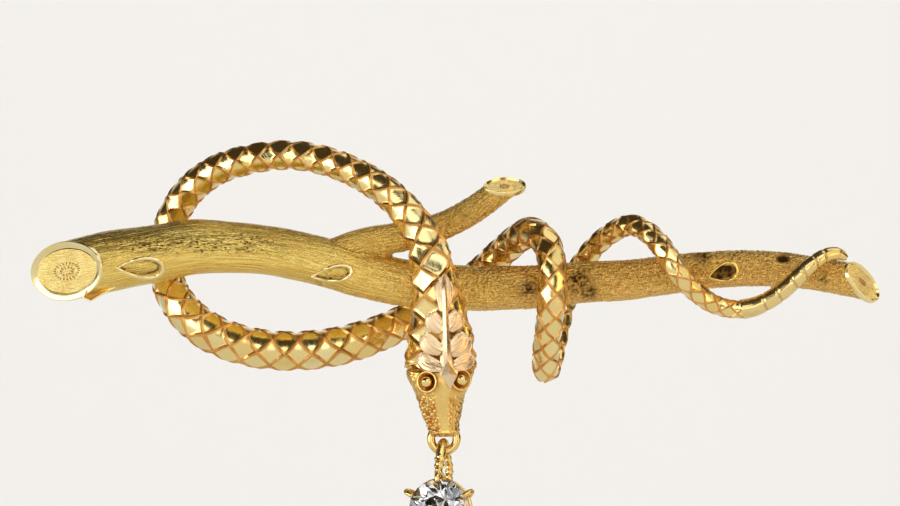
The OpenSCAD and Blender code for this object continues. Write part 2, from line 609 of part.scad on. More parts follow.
// The diamond: eight main facets above and below, cut round a table and a small flat foot
module stone() {
  r = stone_d / 2;
  table_r = r * table_share;
  foot_r = 0.16;
  share_above = 0.46;
  share_below = 0.72;
  turned = cos(22.5);
  function at(radius, a, y) = [radius * sin(a), y, radius * cos(a)];
  function ring_of(count, radius, start, y) =
    [for (i = [0 : count - 1]) at(radius, start + i * 360 / count, y)];
  top_y = girdle_y - girdle_h / 2;
  low_y = girdle_y + girdle_h / 2;
  star_r = (table_r + share_above * (r - table_r)) / turned;
  star_y = top_y - crown_h * (1 - share_above);
  deep_r = (r + share_below * (foot_r - r)) / turned;
  deep_y = low_y + pavilion_h * share_below;
  points = concat(
    ring_of(8, table_r, 0, top_y - crown_h), ring_of(8, star_r, 22.5, star_y), ring_of(16, r, 0, top_y),
    ring_of(16, r, 0, low_y), ring_of(8, deep_r, 22.5, deep_y), ring_of(8, foot_r, 0, low_y + pavilion_h));
  function t(i) = i % 8;
  function s(i) = 8 + (i + 8) % 8;
  function g(i) = 16 + i % 16;
  function b(i) = 32 + i % 16;
  function d(i) = 48 + (i + 8) % 8;
  function f(i) = 56 + i % 8;
  faces = concat(
    [[for (i = [0 : 7]) t(i)]],
    [for (i = [0 : 7]) each [
      [t(i), s(i), t(i + 1)], [t(i), s(i - 1), g(2 * i), s(i)],
      [s(i), g(2 * i), g(2 * i + 1)], [s(i), g(2 * i + 1), g(2 * i + 2)]]],
    [for (i = [0 : 15]) [g(i), b(i), b(i + 1), g(i + 1)]],
    [for (i = [0 : 7]) each [
      [d(i), b(2 * i + 1), b(2 * i)], [d(i), b(2 * i + 2), b(2 * i + 1)],
      [b(2 * i), d(i - 1), f(i), d(i)], [d(i), f(i), f(i + 1)]]],
    [[for (i = [7 : -1 : 0]) f(i)]]);
  polyhedron(points = points, faces = faces);
}
module drop_diamond() {
  color("#f4f6f8", 0.6) in_drop() at_stone() stone();
}

branch();
snake();
crest_leaf();
eye_left();
eye_right();
brooch_pin();
mouth_ring();
drop_setting();
drop_diamond();
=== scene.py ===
# %% [markdown]
# # A gold snake brooch
# This notebook dresses a finished mechanical model of a bar brooch: a scaled snake wound round a
# sawn branch, with a leaf on its head and a diamond drop in its mouth. The mechanical model is the
# fixed frame. Every piece made here sits in that frame, so nothing is fitted afterwards.

# %% Load the frame
import bmesh
import bpy
import math
import random
import numpy as np
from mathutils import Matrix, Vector, noise
from mathutils.bvhtree import BVHTree


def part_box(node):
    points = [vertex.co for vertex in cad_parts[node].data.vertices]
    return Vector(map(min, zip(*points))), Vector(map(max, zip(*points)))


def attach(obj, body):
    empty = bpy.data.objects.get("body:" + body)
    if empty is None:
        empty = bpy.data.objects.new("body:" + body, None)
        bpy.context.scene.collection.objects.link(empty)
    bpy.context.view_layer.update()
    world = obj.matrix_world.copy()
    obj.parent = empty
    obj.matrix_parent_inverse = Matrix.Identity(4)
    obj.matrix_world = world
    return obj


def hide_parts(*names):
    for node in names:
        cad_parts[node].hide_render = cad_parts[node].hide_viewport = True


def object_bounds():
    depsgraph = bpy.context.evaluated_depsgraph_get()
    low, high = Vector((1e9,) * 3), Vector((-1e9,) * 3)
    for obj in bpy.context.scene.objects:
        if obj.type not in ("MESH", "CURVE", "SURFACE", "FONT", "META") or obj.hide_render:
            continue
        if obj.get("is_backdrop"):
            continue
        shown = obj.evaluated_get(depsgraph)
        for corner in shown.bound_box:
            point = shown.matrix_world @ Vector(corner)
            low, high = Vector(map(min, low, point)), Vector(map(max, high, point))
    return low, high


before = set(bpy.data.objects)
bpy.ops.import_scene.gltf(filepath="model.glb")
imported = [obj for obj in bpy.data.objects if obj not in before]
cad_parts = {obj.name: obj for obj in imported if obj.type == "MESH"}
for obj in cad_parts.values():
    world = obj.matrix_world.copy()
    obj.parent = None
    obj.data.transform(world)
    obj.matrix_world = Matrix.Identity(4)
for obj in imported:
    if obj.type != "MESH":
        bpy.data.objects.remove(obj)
cad_low, cad_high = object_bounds()
print("the brooch is", [round(1000 * (b - a), 1) for a, b in zip(cad_low, cad_high)], "mm")

# %% [markdown]
# ## Working in millimetres
# A brooch is small. Blender's bevels, booleans and merges are happiest with numbers near one, so
# each piece is modelled with one Blender unit for a millimetre, and shrunk once it is done. The
# helpers below do what a hand does with the mouse: pick one object, pick some faces by where they
# are, apply a modifier.

# %% Helpers for picking and applying
MM = 0.001
BRANCH_AXIS = Vector((0, -5.6, 0.45))     # the branch's axis plane, in mm from the pin


def material_called(name):
    """The material of this name, made new where it doesn't exist yet."""
    return bpy.data.materials.get(name) or bpy.data.materials.new(name)


def only(obj):
    """Select one object and nothing else."""
    bpy.ops.object.select_all(action="DESELECT")
    obj.select_set(True)
    bpy.context.view_layer.objects.active = obj
    return obj


def open_edit(obj):
    only(obj)
    bpy.ops.object.mode_set(mode="EDIT")
    bpy.ops.mesh.select_all(action="SELECT")


def close_edit():
    bpy.ops.object.mode_set(mode="OBJECT")


def pick(kind, test):
    """In edit mode, select the vertices, edges or faces for which test is true."""
    bpy.ops.mesh.select_mode(type=kind)
    bpy.ops.mesh.select_all(action="DESELECT")
    work = bmesh.from_edit_mesh(bpy.context.object.data)
    parts = {"VERT": work.verts, "EDGE": work.edges, "FACE": work.faces}[kind]
    chosen = [part for part in parts if test(part)]
    for part in chosen:
        part.select_set(True)
    bmesh.update_edit_mesh(bpy.context.object.data)
    return len(chosen)


def modify(obj, kind, **settings):
    """Add a modifier, set it and apply it."""
    only(obj)
    modifier = obj.modifiers.new(kind.lower(), kind)
    for name, value in settings.items():
        setattr(modifier, name, value)
    bpy.ops.object.modifier_apply(modifier=modifier.name)


def join(parts, name):
    """Join several objects into the first one."""
    bpy.ops.object.select_all(action="DESELECT")
    for part in parts:
        part.select_set(True)
    bpy.context.view_layer.objects.active = parts[0]
    bpy.ops.object.join()
    parts[0].name = name
    parts[0].data.name = name
    return parts[0]


def points_of(obj):
    co = np.zeros(len(obj.data.vertices) * 3)
    obj.data.vertices.foreach_get("co", co)
    return co.reshape(-1, 3)


def put_points(obj, co):
    obj.data.vertices.foreach_set("co", np.asarray(co, float).ravel())
    obj.data.update()


def keep_number(obj, name, values):
    """Store a number at every point, for a material to read."""
    obj.data.attributes.new(name, "FLOAT", "POINT").data.foreach_set("value", np.asarray(values, float))


def outward(obj):
    open_edit(obj)
    bpy.ops.mesh.normals_make_consistent(inside=False)
    close_edit()


def hand_over(obj, body, slot, *nodes):
    """Shrink a finished piece to metres, and let it ride on its body in place of CAD nodes."""
    only(obj)
    obj.scale = (MM, MM, MM)
    bpy.ops.object.transform_apply(location=True, rotation=True, scale=True)
    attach(obj, body)
    if nodes:
        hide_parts(*nodes)
    print(obj.name, len(obj.data.polygons), "faces")
    return obj


# %% [markdown]
# ## The snake's line
# The snake is a wire bent by hand, so its route is a table: where the middle of the body is, and
# how wide and how thick it is there. A Bezier curve whose handles follow the neighbouring points is
# the Blender form of a smooth line through such a table, and the Curve modifier then bends a
# straight body along it.

# %% The route of the snake
# Columns: x, y behind the branch's axis, z, half width, half thickness, in mm from the head
SNAKE_ROUTE = [
    (-0.65, -2.95, -6.95, 2.52, 1.72), (-0.68, -3.10, -5.45, 2.52, 1.75),
    (-0.76, -3.35, -3.50, 2.22, 1.68), (-0.96, -3.45, -1.75, 1.93, 1.62),
    (-1.26, -3.35, -0.05, 1.71, 1.54), (-1.78, -2.95, 1.75, 1.46, 1.40),
    (-2.95, -2.55, 3.60, 1.28, 1.28), (-4.60, -2.00, 5.22, 1.19, 1.19),
    (-6.70, -1.20, 6.50, 1.13, 1.13), (-8.95, -0.40, 7.35, 1.12, 1.12),
    (-11.35, 0.30, 7.70, 1.12, 1.12), (-13.85, 1.00, 7.45, 1.14, 1.14),
    (-16.35, 1.80, 6.68, 1.16, 1.16), (-18.35, 2.60, 5.18, 1.19, 1.19),
    (-19.60, 3.30, 3.12, 1.22, 1.22), (-20.05, 3.50, 0.90, 1.26, 1.26),
    (-19.80, 3.00, -1.30, 1.30, 1.30), (-18.65, 2.20, -3.27, 1.40, 1.40),
    (-16.75, 1.60, -4.78, 1.49, 1.49), (-14.15, 1.30, -5.72, 1.50, 1.50),
    (-11.35, 1.30, -6.03, 1.49, 1.49), (-8.40, 1.60, -5.80, 1.48, 1.48),
    (-5.75, 2.30, -5.10, 1.41, 1.41), (-3.35, 3.00, -4.05, 1.30, 1.30),
    (-1.30, 3.20, -2.75, 1.22, 1.22), (0.75, 3.20, -1.62, 1.19, 1.19),
    (2.25, 3.05, -0.45, 1.17, 1.17), (3.50, 2.45, 0.74, 1.15, 1.15),
    (4.66, 1.40, 1.76, 1.14, 1.14), (5.68, -0.05, 2.32, 1.13, 1.13),
    (6.73, -1.60, 1.52, 1.11, 1.11), (7.15, -2.70, -0.20, 1.09, 1.09),
    (7.10, -2.80, -2.25, 1.08, 1.08), (6.95, -2.20, -4.25, 1.07, 1.07),
    (6.72, -1.20, -6.10, 1.05, 1.05), (6.75, 0.10, -7.37, 1.01, 1.01),
    (7.12, 1.40, -6.30, 0.98, 0.98), (7.55, 2.30, -4.40, 0.96, 0.96),
    (8.05, 2.70, -2.50, 0.93, 0.93), (8.80, 2.60, -0.78, 0.89, 0.89),
    (9.70, 2.00, 0.70, 0.84, 0.84), (10.95, 1.10, 1.98, 0.81, 0.81),
    (12.60, -0.10, 2.80, 0.81, 0.81), (14.00, -1.30, 2.15, 0.83, 0.83),
    (15.05, -2.10, 0.90, 0.84, 0.84), (15.95, -2.40, -0.55, 0.83, 0.83),
    (17.15, -2.10, -1.83, 0.79, 0.79), (18.60, -1.60, -2.80, 0.72, 0.72),
    (20.40, -1.40, -3.10, 0.68, 0.68), (22.05, -1.60, -2.58, 0.64, 0.64),
    (23.55, -1.95, -1.55, 0.60, 0.60), (24.90, -2.05, -0.25, 0.56, 0.56),
    (26.10, -1.65, 0.60, 0.52, 0.52), (27.05, -1.20, 0.80, 0.46, 0.46),
    (27.60, -1.00, 0.57, 0.30, 0.30),
]


def smooth_rows(rows, steps):
    """Rows of a table with smooth rows between them, the line passing through each row."""
    rows = np.array(rows, float)
    led_on = np.vstack([2 * rows[0] - rows[1], rows, 2 * rows[-1] - rows[-2]])
    made = []
    for a, b, c, d in zip(led_on, led_on[1:], led_on[2:], led_on[3:]):
        for t in np.arange(steps) / steps:
            made.append(0.5 * (2 * b + (c - a) * t + (2 * a - 5 * b + 4 * c - d) * t * t
                               + (3 * b - a - 3 * c + d) * t ** 3))
    return np.array(made + [rows[-1]])


def run_of(rows):
    """How far along its line each row lies."""
    steps = np.linalg.norm(np.diff(rows[:, :3], axis=0), axis=1)
    return np.concatenate([[0], np.cumsum(steps)])


def guide_curve(name, rows):
    """A Bezier curve through the rows, with handles that point from neighbour to neighbour."""
    rows = np.array(rows, float)[:, :3]
    led_on = np.vstack([2 * rows[0] - rows[1], rows, 2 * rows[-1] - rows[-2]])
    data = bpy.data.curves.new(name, "CURVE")
    data.dimensions = "3D"
    data.resolution_u = 24
    data.twist_mode = "MINIMUM"
    data.use_radius = False
    spline = data.splines.new("BEZIER")
    spline.bezier_points.add(len(rows) - 1)
    for i, point in enumerate(spline.bezier_points):
        reach = (led_on[i + 2] - led_on[i]) / 6
        point.co = rows[i]
        point.handle_left = rows[i] - reach
        point.handle_right = rows[i] + reach
    curve = bpy.data.objects.new(name, data)
    bpy.context.scene.collection.objects.link(curve)
    return curve


snake_line = smooth_rows(SNAKE_ROUTE, 6)
snake_run = run_of(snake_line)
print("the snake is", round(snake_run[-1], 1), "mm long")

# %% [markdown]
# ## The scaled body
# On the real snake the lozenges are cut with a file: two sets of V grooves wind round the wire and
# leave flat, polished faces between them. Four lozenges go round the body. A tube with four sides
# has the right lattice hidden in it: poking each face and dissolving the old edges leaves one
# four-cornered face for each lozenge. Each face is then split off, rounded to a cylinder and inset
# twice, once for the groove and once for the thin bright edge. All of it is done on a straight body
# of radius one, where every lozenge is alike.

# %% A lattice of lozenges
PITCH_BASE, PITCH_SHARE = 0.60, 0.83     # a lozenge is this long, plus this share of the radius
PITCH_CAP = 1.55                         # the radius past which lozenges grow no longer
SCALE_START, SCALE_END = -2.48, 105.3    # where on the snake the lozenges begin and end
UNIT_PITCH = 1.46                        # a lozenge's length on the straight body


def half_sizes(run):
    """Half width and half thickness of the snake at each distance along it; it ends in the skull."""
    taper = np.clip(1 + 0.5 * np.minimum(run + 0.35, 0), 0.3, 1)
    return (taper * np.interp(run, snake_run, snake_line[:, 3]),
            taper * np.interp(run, snake_run, snake_line[:, 4]))


stations = [SCALE_START]
while stations[-1] < SCALE_END:
    radius = min(*half_sizes(max(0, stations[-1])), PITCH_CAP)
    stations.append(stations[-1] + PITCH_BASE + PITCH_SHARE * radius)

bpy.ops.object.select_all(action="DESELECT")
bpy.ops.mesh.primitive_circle_add(vertices=4, radius=1)
body = bpy.context.object
body.name = body.data.name = "snake_body"
open_edit(body)
for _ in stations[1:]:
    bpy.ops.mesh.extrude_region_move(TRANSFORM_OT_translate={"value": (0, 0, UNIT_PITCH)})
pick("FACE", lambda face: True)
bpy.ops.mesh.poke()
pick("EDGE", lambda edge: all(abs(vert.co.x * vert.co.y) < 1e-6 for vert in edge.verts)
     and len(edge.link_faces) == 2)
bpy.ops.mesh.dissolve_edges(use_verts=False)
pick("FACE", lambda face: len(face.verts) == 3)
bpy.ops.mesh.delete(type="FACE")
bpy.ops.mesh.select_all(action="SELECT")
bpy.ops.mesh.normals_make_consistent(inside=False)
bpy.ops.mesh.edge_split()
bpy.ops.mesh.select_all(action="SELECT")
bpy.ops.mesh.subdivide(number_cuts=3)
close_edit()
modify(body, "CAST", cast_type="CYLINDER", factor=1, radius=0, size=1, use_radius_as_size=False)
print("lozenges:", len(body.data.polygons) // 16)

# %% Cut the grooves and file the faces
GROOVE_HALF = 0.095          # half the width of a groove, as a share of the radius
GROOVE_DEPTH = 0.065
EDGE_WIDTH = 0.045           # the thin bright bevel round a lozenge
FLATTEN = 0.40               # how far a lozenge is filed towards a flat face
HAND_TILT = 0.05             # how much the hand tips the file from face to face


def file_flat(obj, amount, tilt, seed):
    """Press each loose patch of picked faces towards a plane, each plane tipped a little."""
    hand = random.Random(seed)
    work = bmesh.from_edit_mesh(obj.data)
    tone = work.faces.layers.float.new("tone")
    waiting = {face for face in work.faces if face.select}
    for start in [face for face in work.faces if face.select]:
        if start not in waiting:
            continue
        waiting.remove(start)
        patch, fringe = [start], [start]
        while fringe:
            near = {other for edge in fringe.pop().edges for other in edge.link_faces} & waiting
            waiting -= near
            patch += near
            fringe += near
        corners = {vert for face in patch for vert in face.verts}
        middle = sum((vert.co for vert in corners), Vector()) / len(corners)
        normal = sum((face.normal for face in patch), Vector()).normalized()
        lean = Vector([hand.uniform(-tilt, tilt) for _ in range(3)])
        shade = hand.random()
        for face in patch:
            face[tone] = shade
        for vert in corners:
            arm = vert.co - middle
            vert.co -= (amount * arm.dot(normal) + arm.dot(lean)) * normal
    bmesh.update_edit_mesh(obj.data)


for name in ("groove", "edge", "face"):
    body.data.materials.append(bpy.data.materials.new("scale_" + name))
open_edit(body)
bpy.ops.mesh.inset(use_boundary=True, thickness=GROOVE_HALF, depth=GROOVE_DEPTH)
file_flat(body, FLATTEN, HAND_TILT, 5)
body.active_material_index = 1
bpy.ops.object.material_slot_assign()
bpy.ops.mesh.inset(use_boundary=True, thickness=EDGE_WIDTH, depth=0.012)
body.active_material_index = 2
bpy.ops.object.material_slot_assign()
close_edit()
print("the scaled body has", len(body.data.polygons), "faces")

# %% [markdown]
# ## Giving the body its girth, and bending it
# Every point now takes the girth of the place where it will lie. The Curve modifier then carries
# the straight body along the route without turning it about itself, as a goldsmith bends a wire.
# The lozenges of the neck are turned a little to the left on the photographed brooch. Tilting the
# curve would turn the oval of the body as well, so the lattice is turned first, on the straight
# body while it is still round, and only then pressed to its oval.

# %% Bend the body along the route
NECK_TURN = math.radians(-22)            # how far the lozenges are turned on the neck
TURN_FADES = (7, 12)                     # the rows of the route between which that turn fades

shape = points_of(body)
run = np.interp(shape[:, 2] / UNIT_PITCH, range(len(stations)), stations)
width, thickness = half_sizes(run)
width = width * (1 + 0.08 * np.exp(-((run - 0.3) / 2.0) ** 2))
turned = np.interp(run, [snake_run[6 * row] for row in TURN_FADES], (NECK_TURN, 0))
x = shape[:, 0] * np.cos(turned) - shape[:, 1] * np.sin(turned)
y = shape[:, 0] * np.sin(turned) + shape[:, 1] * np.cos(turned)
put_points(body, np.stack([x * width, y * thickness, run * (1 + GROOVE_DEPTH)], axis=1)
           / (1 + GROOVE_DEPTH))

route = guide_curve("snake_route", [Vector(row[:3]) + BRANCH_AXIS for row in SNAKE_ROUTE])
modify(body, "CURVE", object=route, deform_axis="POS_Z")
open_edit(body)
bpy.ops.mesh.remove_doubles(threshold=0.004)
close_edit()
only(body)
bpy.ops.object.shade_smooth_by_angle(angle=math.radians(18))
bpy.data.objects.remove(route)
print("bent, with", len(body.data.vertices), "corners")

# %% [markdown]
# ## The plain tail
# Past the last lozenges the wire runs on plain, thinner and thinner. A Bezier curve can carry a
# round bevel whose size follows the radius of each point, which is the quickest way to any wire
# that tapers. The same helper makes the drop's wires later on.

# %% A tapering wire
def wire(name, rows, sides=12, steps=6, closed=False):
    """A round wire along rows of x, y, z and radius."""
    curve = guide_curve(name, rows)
    data = curve.data
    data.resolution_u = steps
    data.bevel_depth = 1
    data.bevel_resolution = sides // 4
    data.use_fill_caps = not closed
    spline = data.splines[0]
    spline.use_cyclic_u = closed
    for point, row in zip(spline.bezier_points, rows):
        point.radius = row[3]
        if closed:
            point.handle_left_type = point.handle_right_type = "AUTO"
    only(curve)
    bpy.ops.object.convert(target="MESH")
    made = bpy.context.object
    open_edit(made)
    bpy.ops.mesh.remove_doubles(threshold=0.001)
    bpy.ops.mesh.normals_make_consistent(inside=False)
    close_edit()
    bpy.ops.object.shade_smooth()
    return made


tail_rows = [tuple(Vector(row[:3]) + BRANCH_AXIS) + (row[4],)
             for row, run in zip(snake_line[::3], snake_run[::3]) if run > SCALE_END - 0.6]
tail_tip = Vector(tail_rows[-1][:3]) + Vector((0.16, 0.04, -0.08))
tail = wire("snake_tail", tail_rows + [(*tail_tip, 0.17)], sides=24, steps=10)

# %% Cut the notches and the fine lines at its start
NOTCHES = [106.6, 107.8, 109.1, 110.05, 111.1, 111.9]       # where they are along the snake
HATCH_END = 106.3

shape = points_of(tail)
line = snake_line[snake_run > SCALE_END - 3]
runs = snake_run[snake_run > SCALE_END - 3]
fine_run = np.arange(runs[0], runs[-1], 0.02)
fine_line = np.stack([np.interp(fine_run, runs, line[:, k]) for k in range(3)], axis=1) \
    + np.array(BRANCH_AXIS)
nearest = np.array([np.argmin(((fine_line - point) ** 2).sum(1)) for point in shape])
out = shape - fine_line[nearest]
out /= np.maximum(np.linalg.norm(out, axis=1), 1e-6)[:, None]
lift = np.zeros(len(shape))
for at in NOTCHES:
    lift -= 0.07 * np.clip(1 - np.abs(fine_run[nearest] - at - 0.12 * out[:, 2]) / 0.12, 0, 1)
hatched = np.clip((HATCH_END - fine_run[nearest]) / 0.5, 0, 1)
lift += 0.02 * hatched * np.cos(12 * np.arctan2(out[:, 2], -out[:, 1]))
lift *= runs[-1] - fine_run[nearest] > 0.3
put_points(tail, shape + lift[:, None] * out)
# Painted shade in the notches and in the fine lines.
keep_number(tail, "cut", np.clip(-lift / 0.05, 0, 1))
print("the tail has", len(tail.data.polygons), "faces")

# %% [markdown]
# ## The head
# The head is a soft wedge that narrows to a blunt snout, with a mouth that grips the ring of the
# drop. It is lofted: a circle is extruded down from ring to ring, and each new ring takes its own
# width and depth. A subdivision surface then rounds it, and the sockets are pressed in with the
# soft selection, as with a thumb in wax.

# %% Loft the skull
# Columns: z, x, half width, front y, back y, in mm from the branch's axis
HEAD_ROWS = [
    (-5.95, -0.68, 2.36, -4.70, -1.48), (-6.80, -0.66, 2.47, -4.80, -1.42),
    (-7.35, -0.68, 2.43, -4.95, -1.50), (-7.90, -0.70, 2.27, -5.05, -1.60),
    (-8.45, -0.68, 2.00, -5.02, -1.75), (-8.95, -0.66, 1.77, -4.90, -1.85),
    (-9.45, -0.65, 1.61, -4.78, -1.95), (-10.00, -0.61, 1.47, -4.66, -2.05),
    (-10.55, -0.56, 1.34, -4.56, -2.15), (-11.15, -0.50, 1.14, -4.47, -2.25),
    (-11.55, -0.44, 1.12, -4.43, -2.32), (-11.85, -0.46, 0.92, -4.30, -2.45),
    (-11.98, -0.46, 0.62, -4.10, -2.70),
]
MOUTH_MIDDLE = Vector((-0.43, -3.2, -12.1)) + BRANCH_AXIS
MOUTH_HALF = 0.35
MOUTH_TOP = -10.7


def loft(name, rings, sides):
    """Extrude a circle along Z through rings of z, x, half width, front y and back y."""
    bpy.ops.object.select_all(action="DESELECT")
    z, x, width, front, back = rings[0]
    bpy.ops.mesh.primitive_circle_add(vertices=sides, radius=1, fill_type="NGON",
                                      location=(x, (front + back) / 2, z))
    made = bpy.context.object
    made.name = made.data.name = name
    bpy.ops.object.transform_apply(location=True)
    open_edit(made)
    bpy.ops.transform.resize(value=(width, (back - front) / 2, 1),
                             center_override=(x, (front + back) / 2, z))
    for above, ring in zip(rings, rings[1:]):
        move = [ring[1] - above[1], (ring[3] + ring[4] - above[3] - above[4]) / 2, ring[0] - above[0]]
        bpy.ops.mesh.extrude_region_move(TRANSFORM_OT_translate={"value": move})
        bpy.ops.transform.resize(
            value=(ring[2] / above[2], (ring[4] - ring[3]) / (above[4] - above[3]), 1),
            center_override=(ring[1], (ring[3] + ring[4]) / 2, ring[0]))
    bpy.ops.mesh.select_all(action="SELECT")
    bpy.ops.mesh.normals_make_consistent(inside=False)
    close_edit()
    return made


SKULL_TOP = -7.2             # above this the scaled body shows
skull_rows = [row for row in HEAD_ROWS if row[0] < SKULL_TOP]
top = skull_rows[0]
tucked = (SKULL_TOP + 0.1, top[1], top[2] * 0.9, top[3] + 0.4, top[4] - 0.2)
head = loft("snake_head", np.vstack([[tucked], smooth_rows(skull_rows, 2)]), 32)
open_edit(head)
bpy.ops.transform.translate(value=BRANCH_AXIS)
close_edit()
modify(head, "SUBSURF", levels=2, render_levels=2)
COLLAR_CENTRE = Vector((-0.67, -3.02, -7.10)) + BRANCH_AXIS
COLLAR_HALVES, COLLAR_DIP, COLLAR_WIRE = (2.46, 1.78), 0.36, 0.085
collar_rows = [(COLLAR_CENTRE.x + COLLAR_HALVES[0] * math.cos(a),
                COLLAR_CENTRE.y + COLLAR_HALVES[1] * math.sin(a),
                COLLAR_CENTRE.z - COLLAR_DIP * min(0, math.sin(a)), COLLAR_WIRE)
               for a in np.linspace(0, 2 * math.pi, 20, endpoint=False)]
collar = wire("collar", collar_rows, 12, 4, closed=True)
print("the skull has", len(head.data.polygons), "faces")

# %% Open the mouth
bpy.ops.object.select_all(action="DESELECT")
bpy.ops.mesh.primitive_cube_add(size=1)
slit = bpy.context.object
slit.scale = (4, 2 * MOUTH_HALF, 2)
slit.location = (MOUTH_MIDDLE.x, MOUTH_MIDDLE.y, MOUTH_TOP + BRANCH_AXIS.z - 1)
bpy.ops.object.transform_apply(location=True, scale=True)
modify(slit, "BEVEL", width=0.12, segments=3)
modify(head, "BOOLEAN", operation="DIFFERENCE", object=slit, solver="EXACT")
bpy.data.objects.remove(slit)
print("with the mouth", len(head.data.polygons), "faces")

# %% Chase the snout
STRIP_HALF = 0.24            # half width of the smooth strip down the snout, as a share of the head's
CELL_SIZE, CELL_DEEP = 0.31, 0.15

head_table = np.array(sorted(HEAD_ROWS))
shape = points_of(head)
local = shape - np.array(BRANCH_AXIS)
middle_x, half_x, front_y, back_y = (np.interp(local[:, 2], head_table[:, 0], head_table[:, k])
                                     for k in (1, 2, 3, 4))
across = (local[:, 0] - middle_x - 0.08) / half_x
out = np.stack([local[:, 0] - middle_x, local[:, 1] - (front_y + back_y) / 2, 0 * middle_x], axis=1)
out /= np.maximum(np.linalg.norm(out, axis=1), 1e-6)[:, None]
low_on_head = np.clip((-8.9 - local[:, 2]) / 0.5, 0, 1)
in_front = np.clip(-out[:, 1] * 3, 0, 1)
side = np.clip((np.abs(across) - STRIP_HALF) / 0.08, 0, 1) * np.where(across < 0, 1, 0.55)
ridge = np.exp(-((np.abs(across) - STRIP_HALF - 0.06) / 0.07) ** 2) * np.where(across < 0, 1, 0.4)
cells = []
for point in shape:
    near = noise.voronoi(Vector(point) / CELL_SIZE)[0]
    cells.append(min(near[1] - near[0], 0.4) / 0.4)
cells = np.array(cells)
cover = (0.45 + 0.55 * low_on_head) * side
lip = np.exp(-((local[:, 2] + 11.70 - 0.25 * across ** 2) / 0.09) ** 2) * in_front
lift = (low_on_head * in_front * 0.11 * ridge
        + cover * CELL_DEEP * (cells - 0.6) * (1 - lip) + 0.08 * lip)
put_points(head, shape + lift[:, None] * out)
# Painted shade in the grooves between the chased cells, but not on the lip.
keep_number(head, "cut", np.clip(cover * (1.0 - cells), 0, 1) * (1 - lip))
print("chased", int((cover > 0.5).sum()), "corners of the snout")

# %% Sockets and rims for the eyes
EYE_RINGS = [(0.70, 0.075)]      # radius of each ring round an eye, and of its wire
BEAD = 0.39

rims = []
for side in ("left", "right"):
    low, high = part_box("eye_" + side)
    eye = (low + high) / 2 / MM
    away = Vector((0.45 if side == "right" else -0.45, -1, 0)).normalized()
    open_edit(head)
    pick("VERT", lambda vert: (vert.co - eye - (vert.co - eye).dot(away) * away).length < 0.2
         and (vert.co - eye).dot(away) > -0.6)
    bpy.ops.transform.translate(value=-0.42 * away, use_proportional_edit=True,
                                proportional_size=0.55, proportional_edit_falloff="SMOOTH")
    close_edit()
    for ring, thick in EYE_RINGS:
        bpy.ops.object.select_all(action="DESELECT")
        bpy.ops.mesh.primitive_torus_add(major_segments=48, minor_segments=12, major_radius=ring,
                                         minor_radius=thick, location=eye - 0.03 * away,
                                         rotation=away.to_track_quat("Z", "Y").to_euler())
        rims.append(bpy.context.object)
        bpy.ops.object.transform_apply(location=True, rotation=True)
        bpy.ops.object.shade_smooth()
    # Painted shade in each eye's socket, fading out from the eye.
    round_eye = np.linalg.norm(points_of(head) - np.array(eye), axis=1)
    cuts = np.zeros(len(head.data.vertices))
    head.data.attributes["cut"].data.foreach_get("value", cuts)
    cuts = np.maximum(cuts, np.clip(1.9 - 1.6 * round_eye, 0, 1))
    head.data.attributes["cut"].data.foreach_set("value", cuts)
only(head)
bpy.ops.object.shade_smooth()
head = join([head, collar] + rims, "snake_head")

beads = {}
for side in ("left", "right"):
    low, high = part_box("eye_" + side)
    bpy.ops.object.select_all(action="DESELECT")
    bpy.ops.mesh.primitive_uv_sphere_add(segments=32, ring_count=20, radius=BEAD,
                                         location=(low + high) / 2 / MM + Vector((0, 0.02, 0)))
    bead = beads["eye_" + side] = bpy.context.object
    bead.name = "bead_" + side
    bpy.ops.object.transform_apply(location=True)
    open_edit(bead)
    centre = (low + high) / 2 / MM
    pick("VERT", lambda vert: (vert.co - centre).normalized().dot(Vector((-0.25, -0.95, -0.2))) > 0.93)
    bpy.ops.transform.translate(value=(0, 0.04, 0))
    close_edit()
    only(bead)
    bpy.ops.object.shade_smooth()
print("with the rims", len(head.data.polygons), "faces")

# %% [markdown]
# ## The branch
# The branch is a casting: a crooked stem that forks once, with sawn ends, knots and a bark chased
# along its length. The stem and the twig are tapering wires. A voxel remesh melts them into one
# skin, which leaves a soft fillet in the fork that no boolean would give.

# %% Melt the stem and the twig together
# Columns: x, y, z and radius, in mm from the branch's axis
STEM_ROWS = [
    (-32.0, 0, -1.60, 2.10), (-29.4, 0, -1.10, 2.10), (-26.95, 0, -0.45, 2.08),
    (-23.85, 0, 0.25, 2.14), (-21.0, 0, 0.75, 2.05), (-18.0, 0, 1.25, 1.93),
    (-15.45, 0, 1.25, 1.82), (-12.95, 0, 1.05, 1.74), (-10.45, 0, 0.60, 1.72),
    (-7.90, 0, -0.05, 1.72), (-6.25, 0, -0.60, 1.68), (-3.50, 0, -1.20, 1.65),
    (-0.70, 0, -1.50, 1.61), (2.10, 0, -1.65, 1.57), (5.55, 0, -1.55, 1.54),
    (8.90, 0, -1.25, 1.46), (12.25, 0, -1.05, 1.40), (15.60, 0, -0.65, 1.37),
    (18.95, 0, -0.30, 1.30), (22.35, 0, -0.25, 1.23), (24.85, 0, -0.50, 1.19),
    (27.35, 0, -0.90, 1.19), (30.10, 0, -1.45, 1.19), (32.0, 0, -1.85, 1.19),
]
TWIG_ROWS = [
    (-9.60, 0, 0.30, 1.00), (-8.40, 0, 0.65, 1.12), (-6.85, 0, 1.20, 1.14), (-5.25, 0, 1.70, 1.07),
    (-3.50, 0, 1.95, 1.04), (-1.75, 0, 2.35, 1.00), (0, 0, 2.97, 0.98), (1.75, 0, 3.95, 0.97),
    (3.50, 0, 5.20, 0.93), (5.25, 0, 6.52, 0.86), (7.0, 0, 7.9, 0.86),
]
FORK_ROWS = [(-9.2, 0, 0.30, 1.35), (-7.6, 0, 0.42, 1.32), (-6.2, 0, 0.40, 1.12), (-5.2, 0, 0.42, 0.8)]
BARK_VOXEL = 0.11


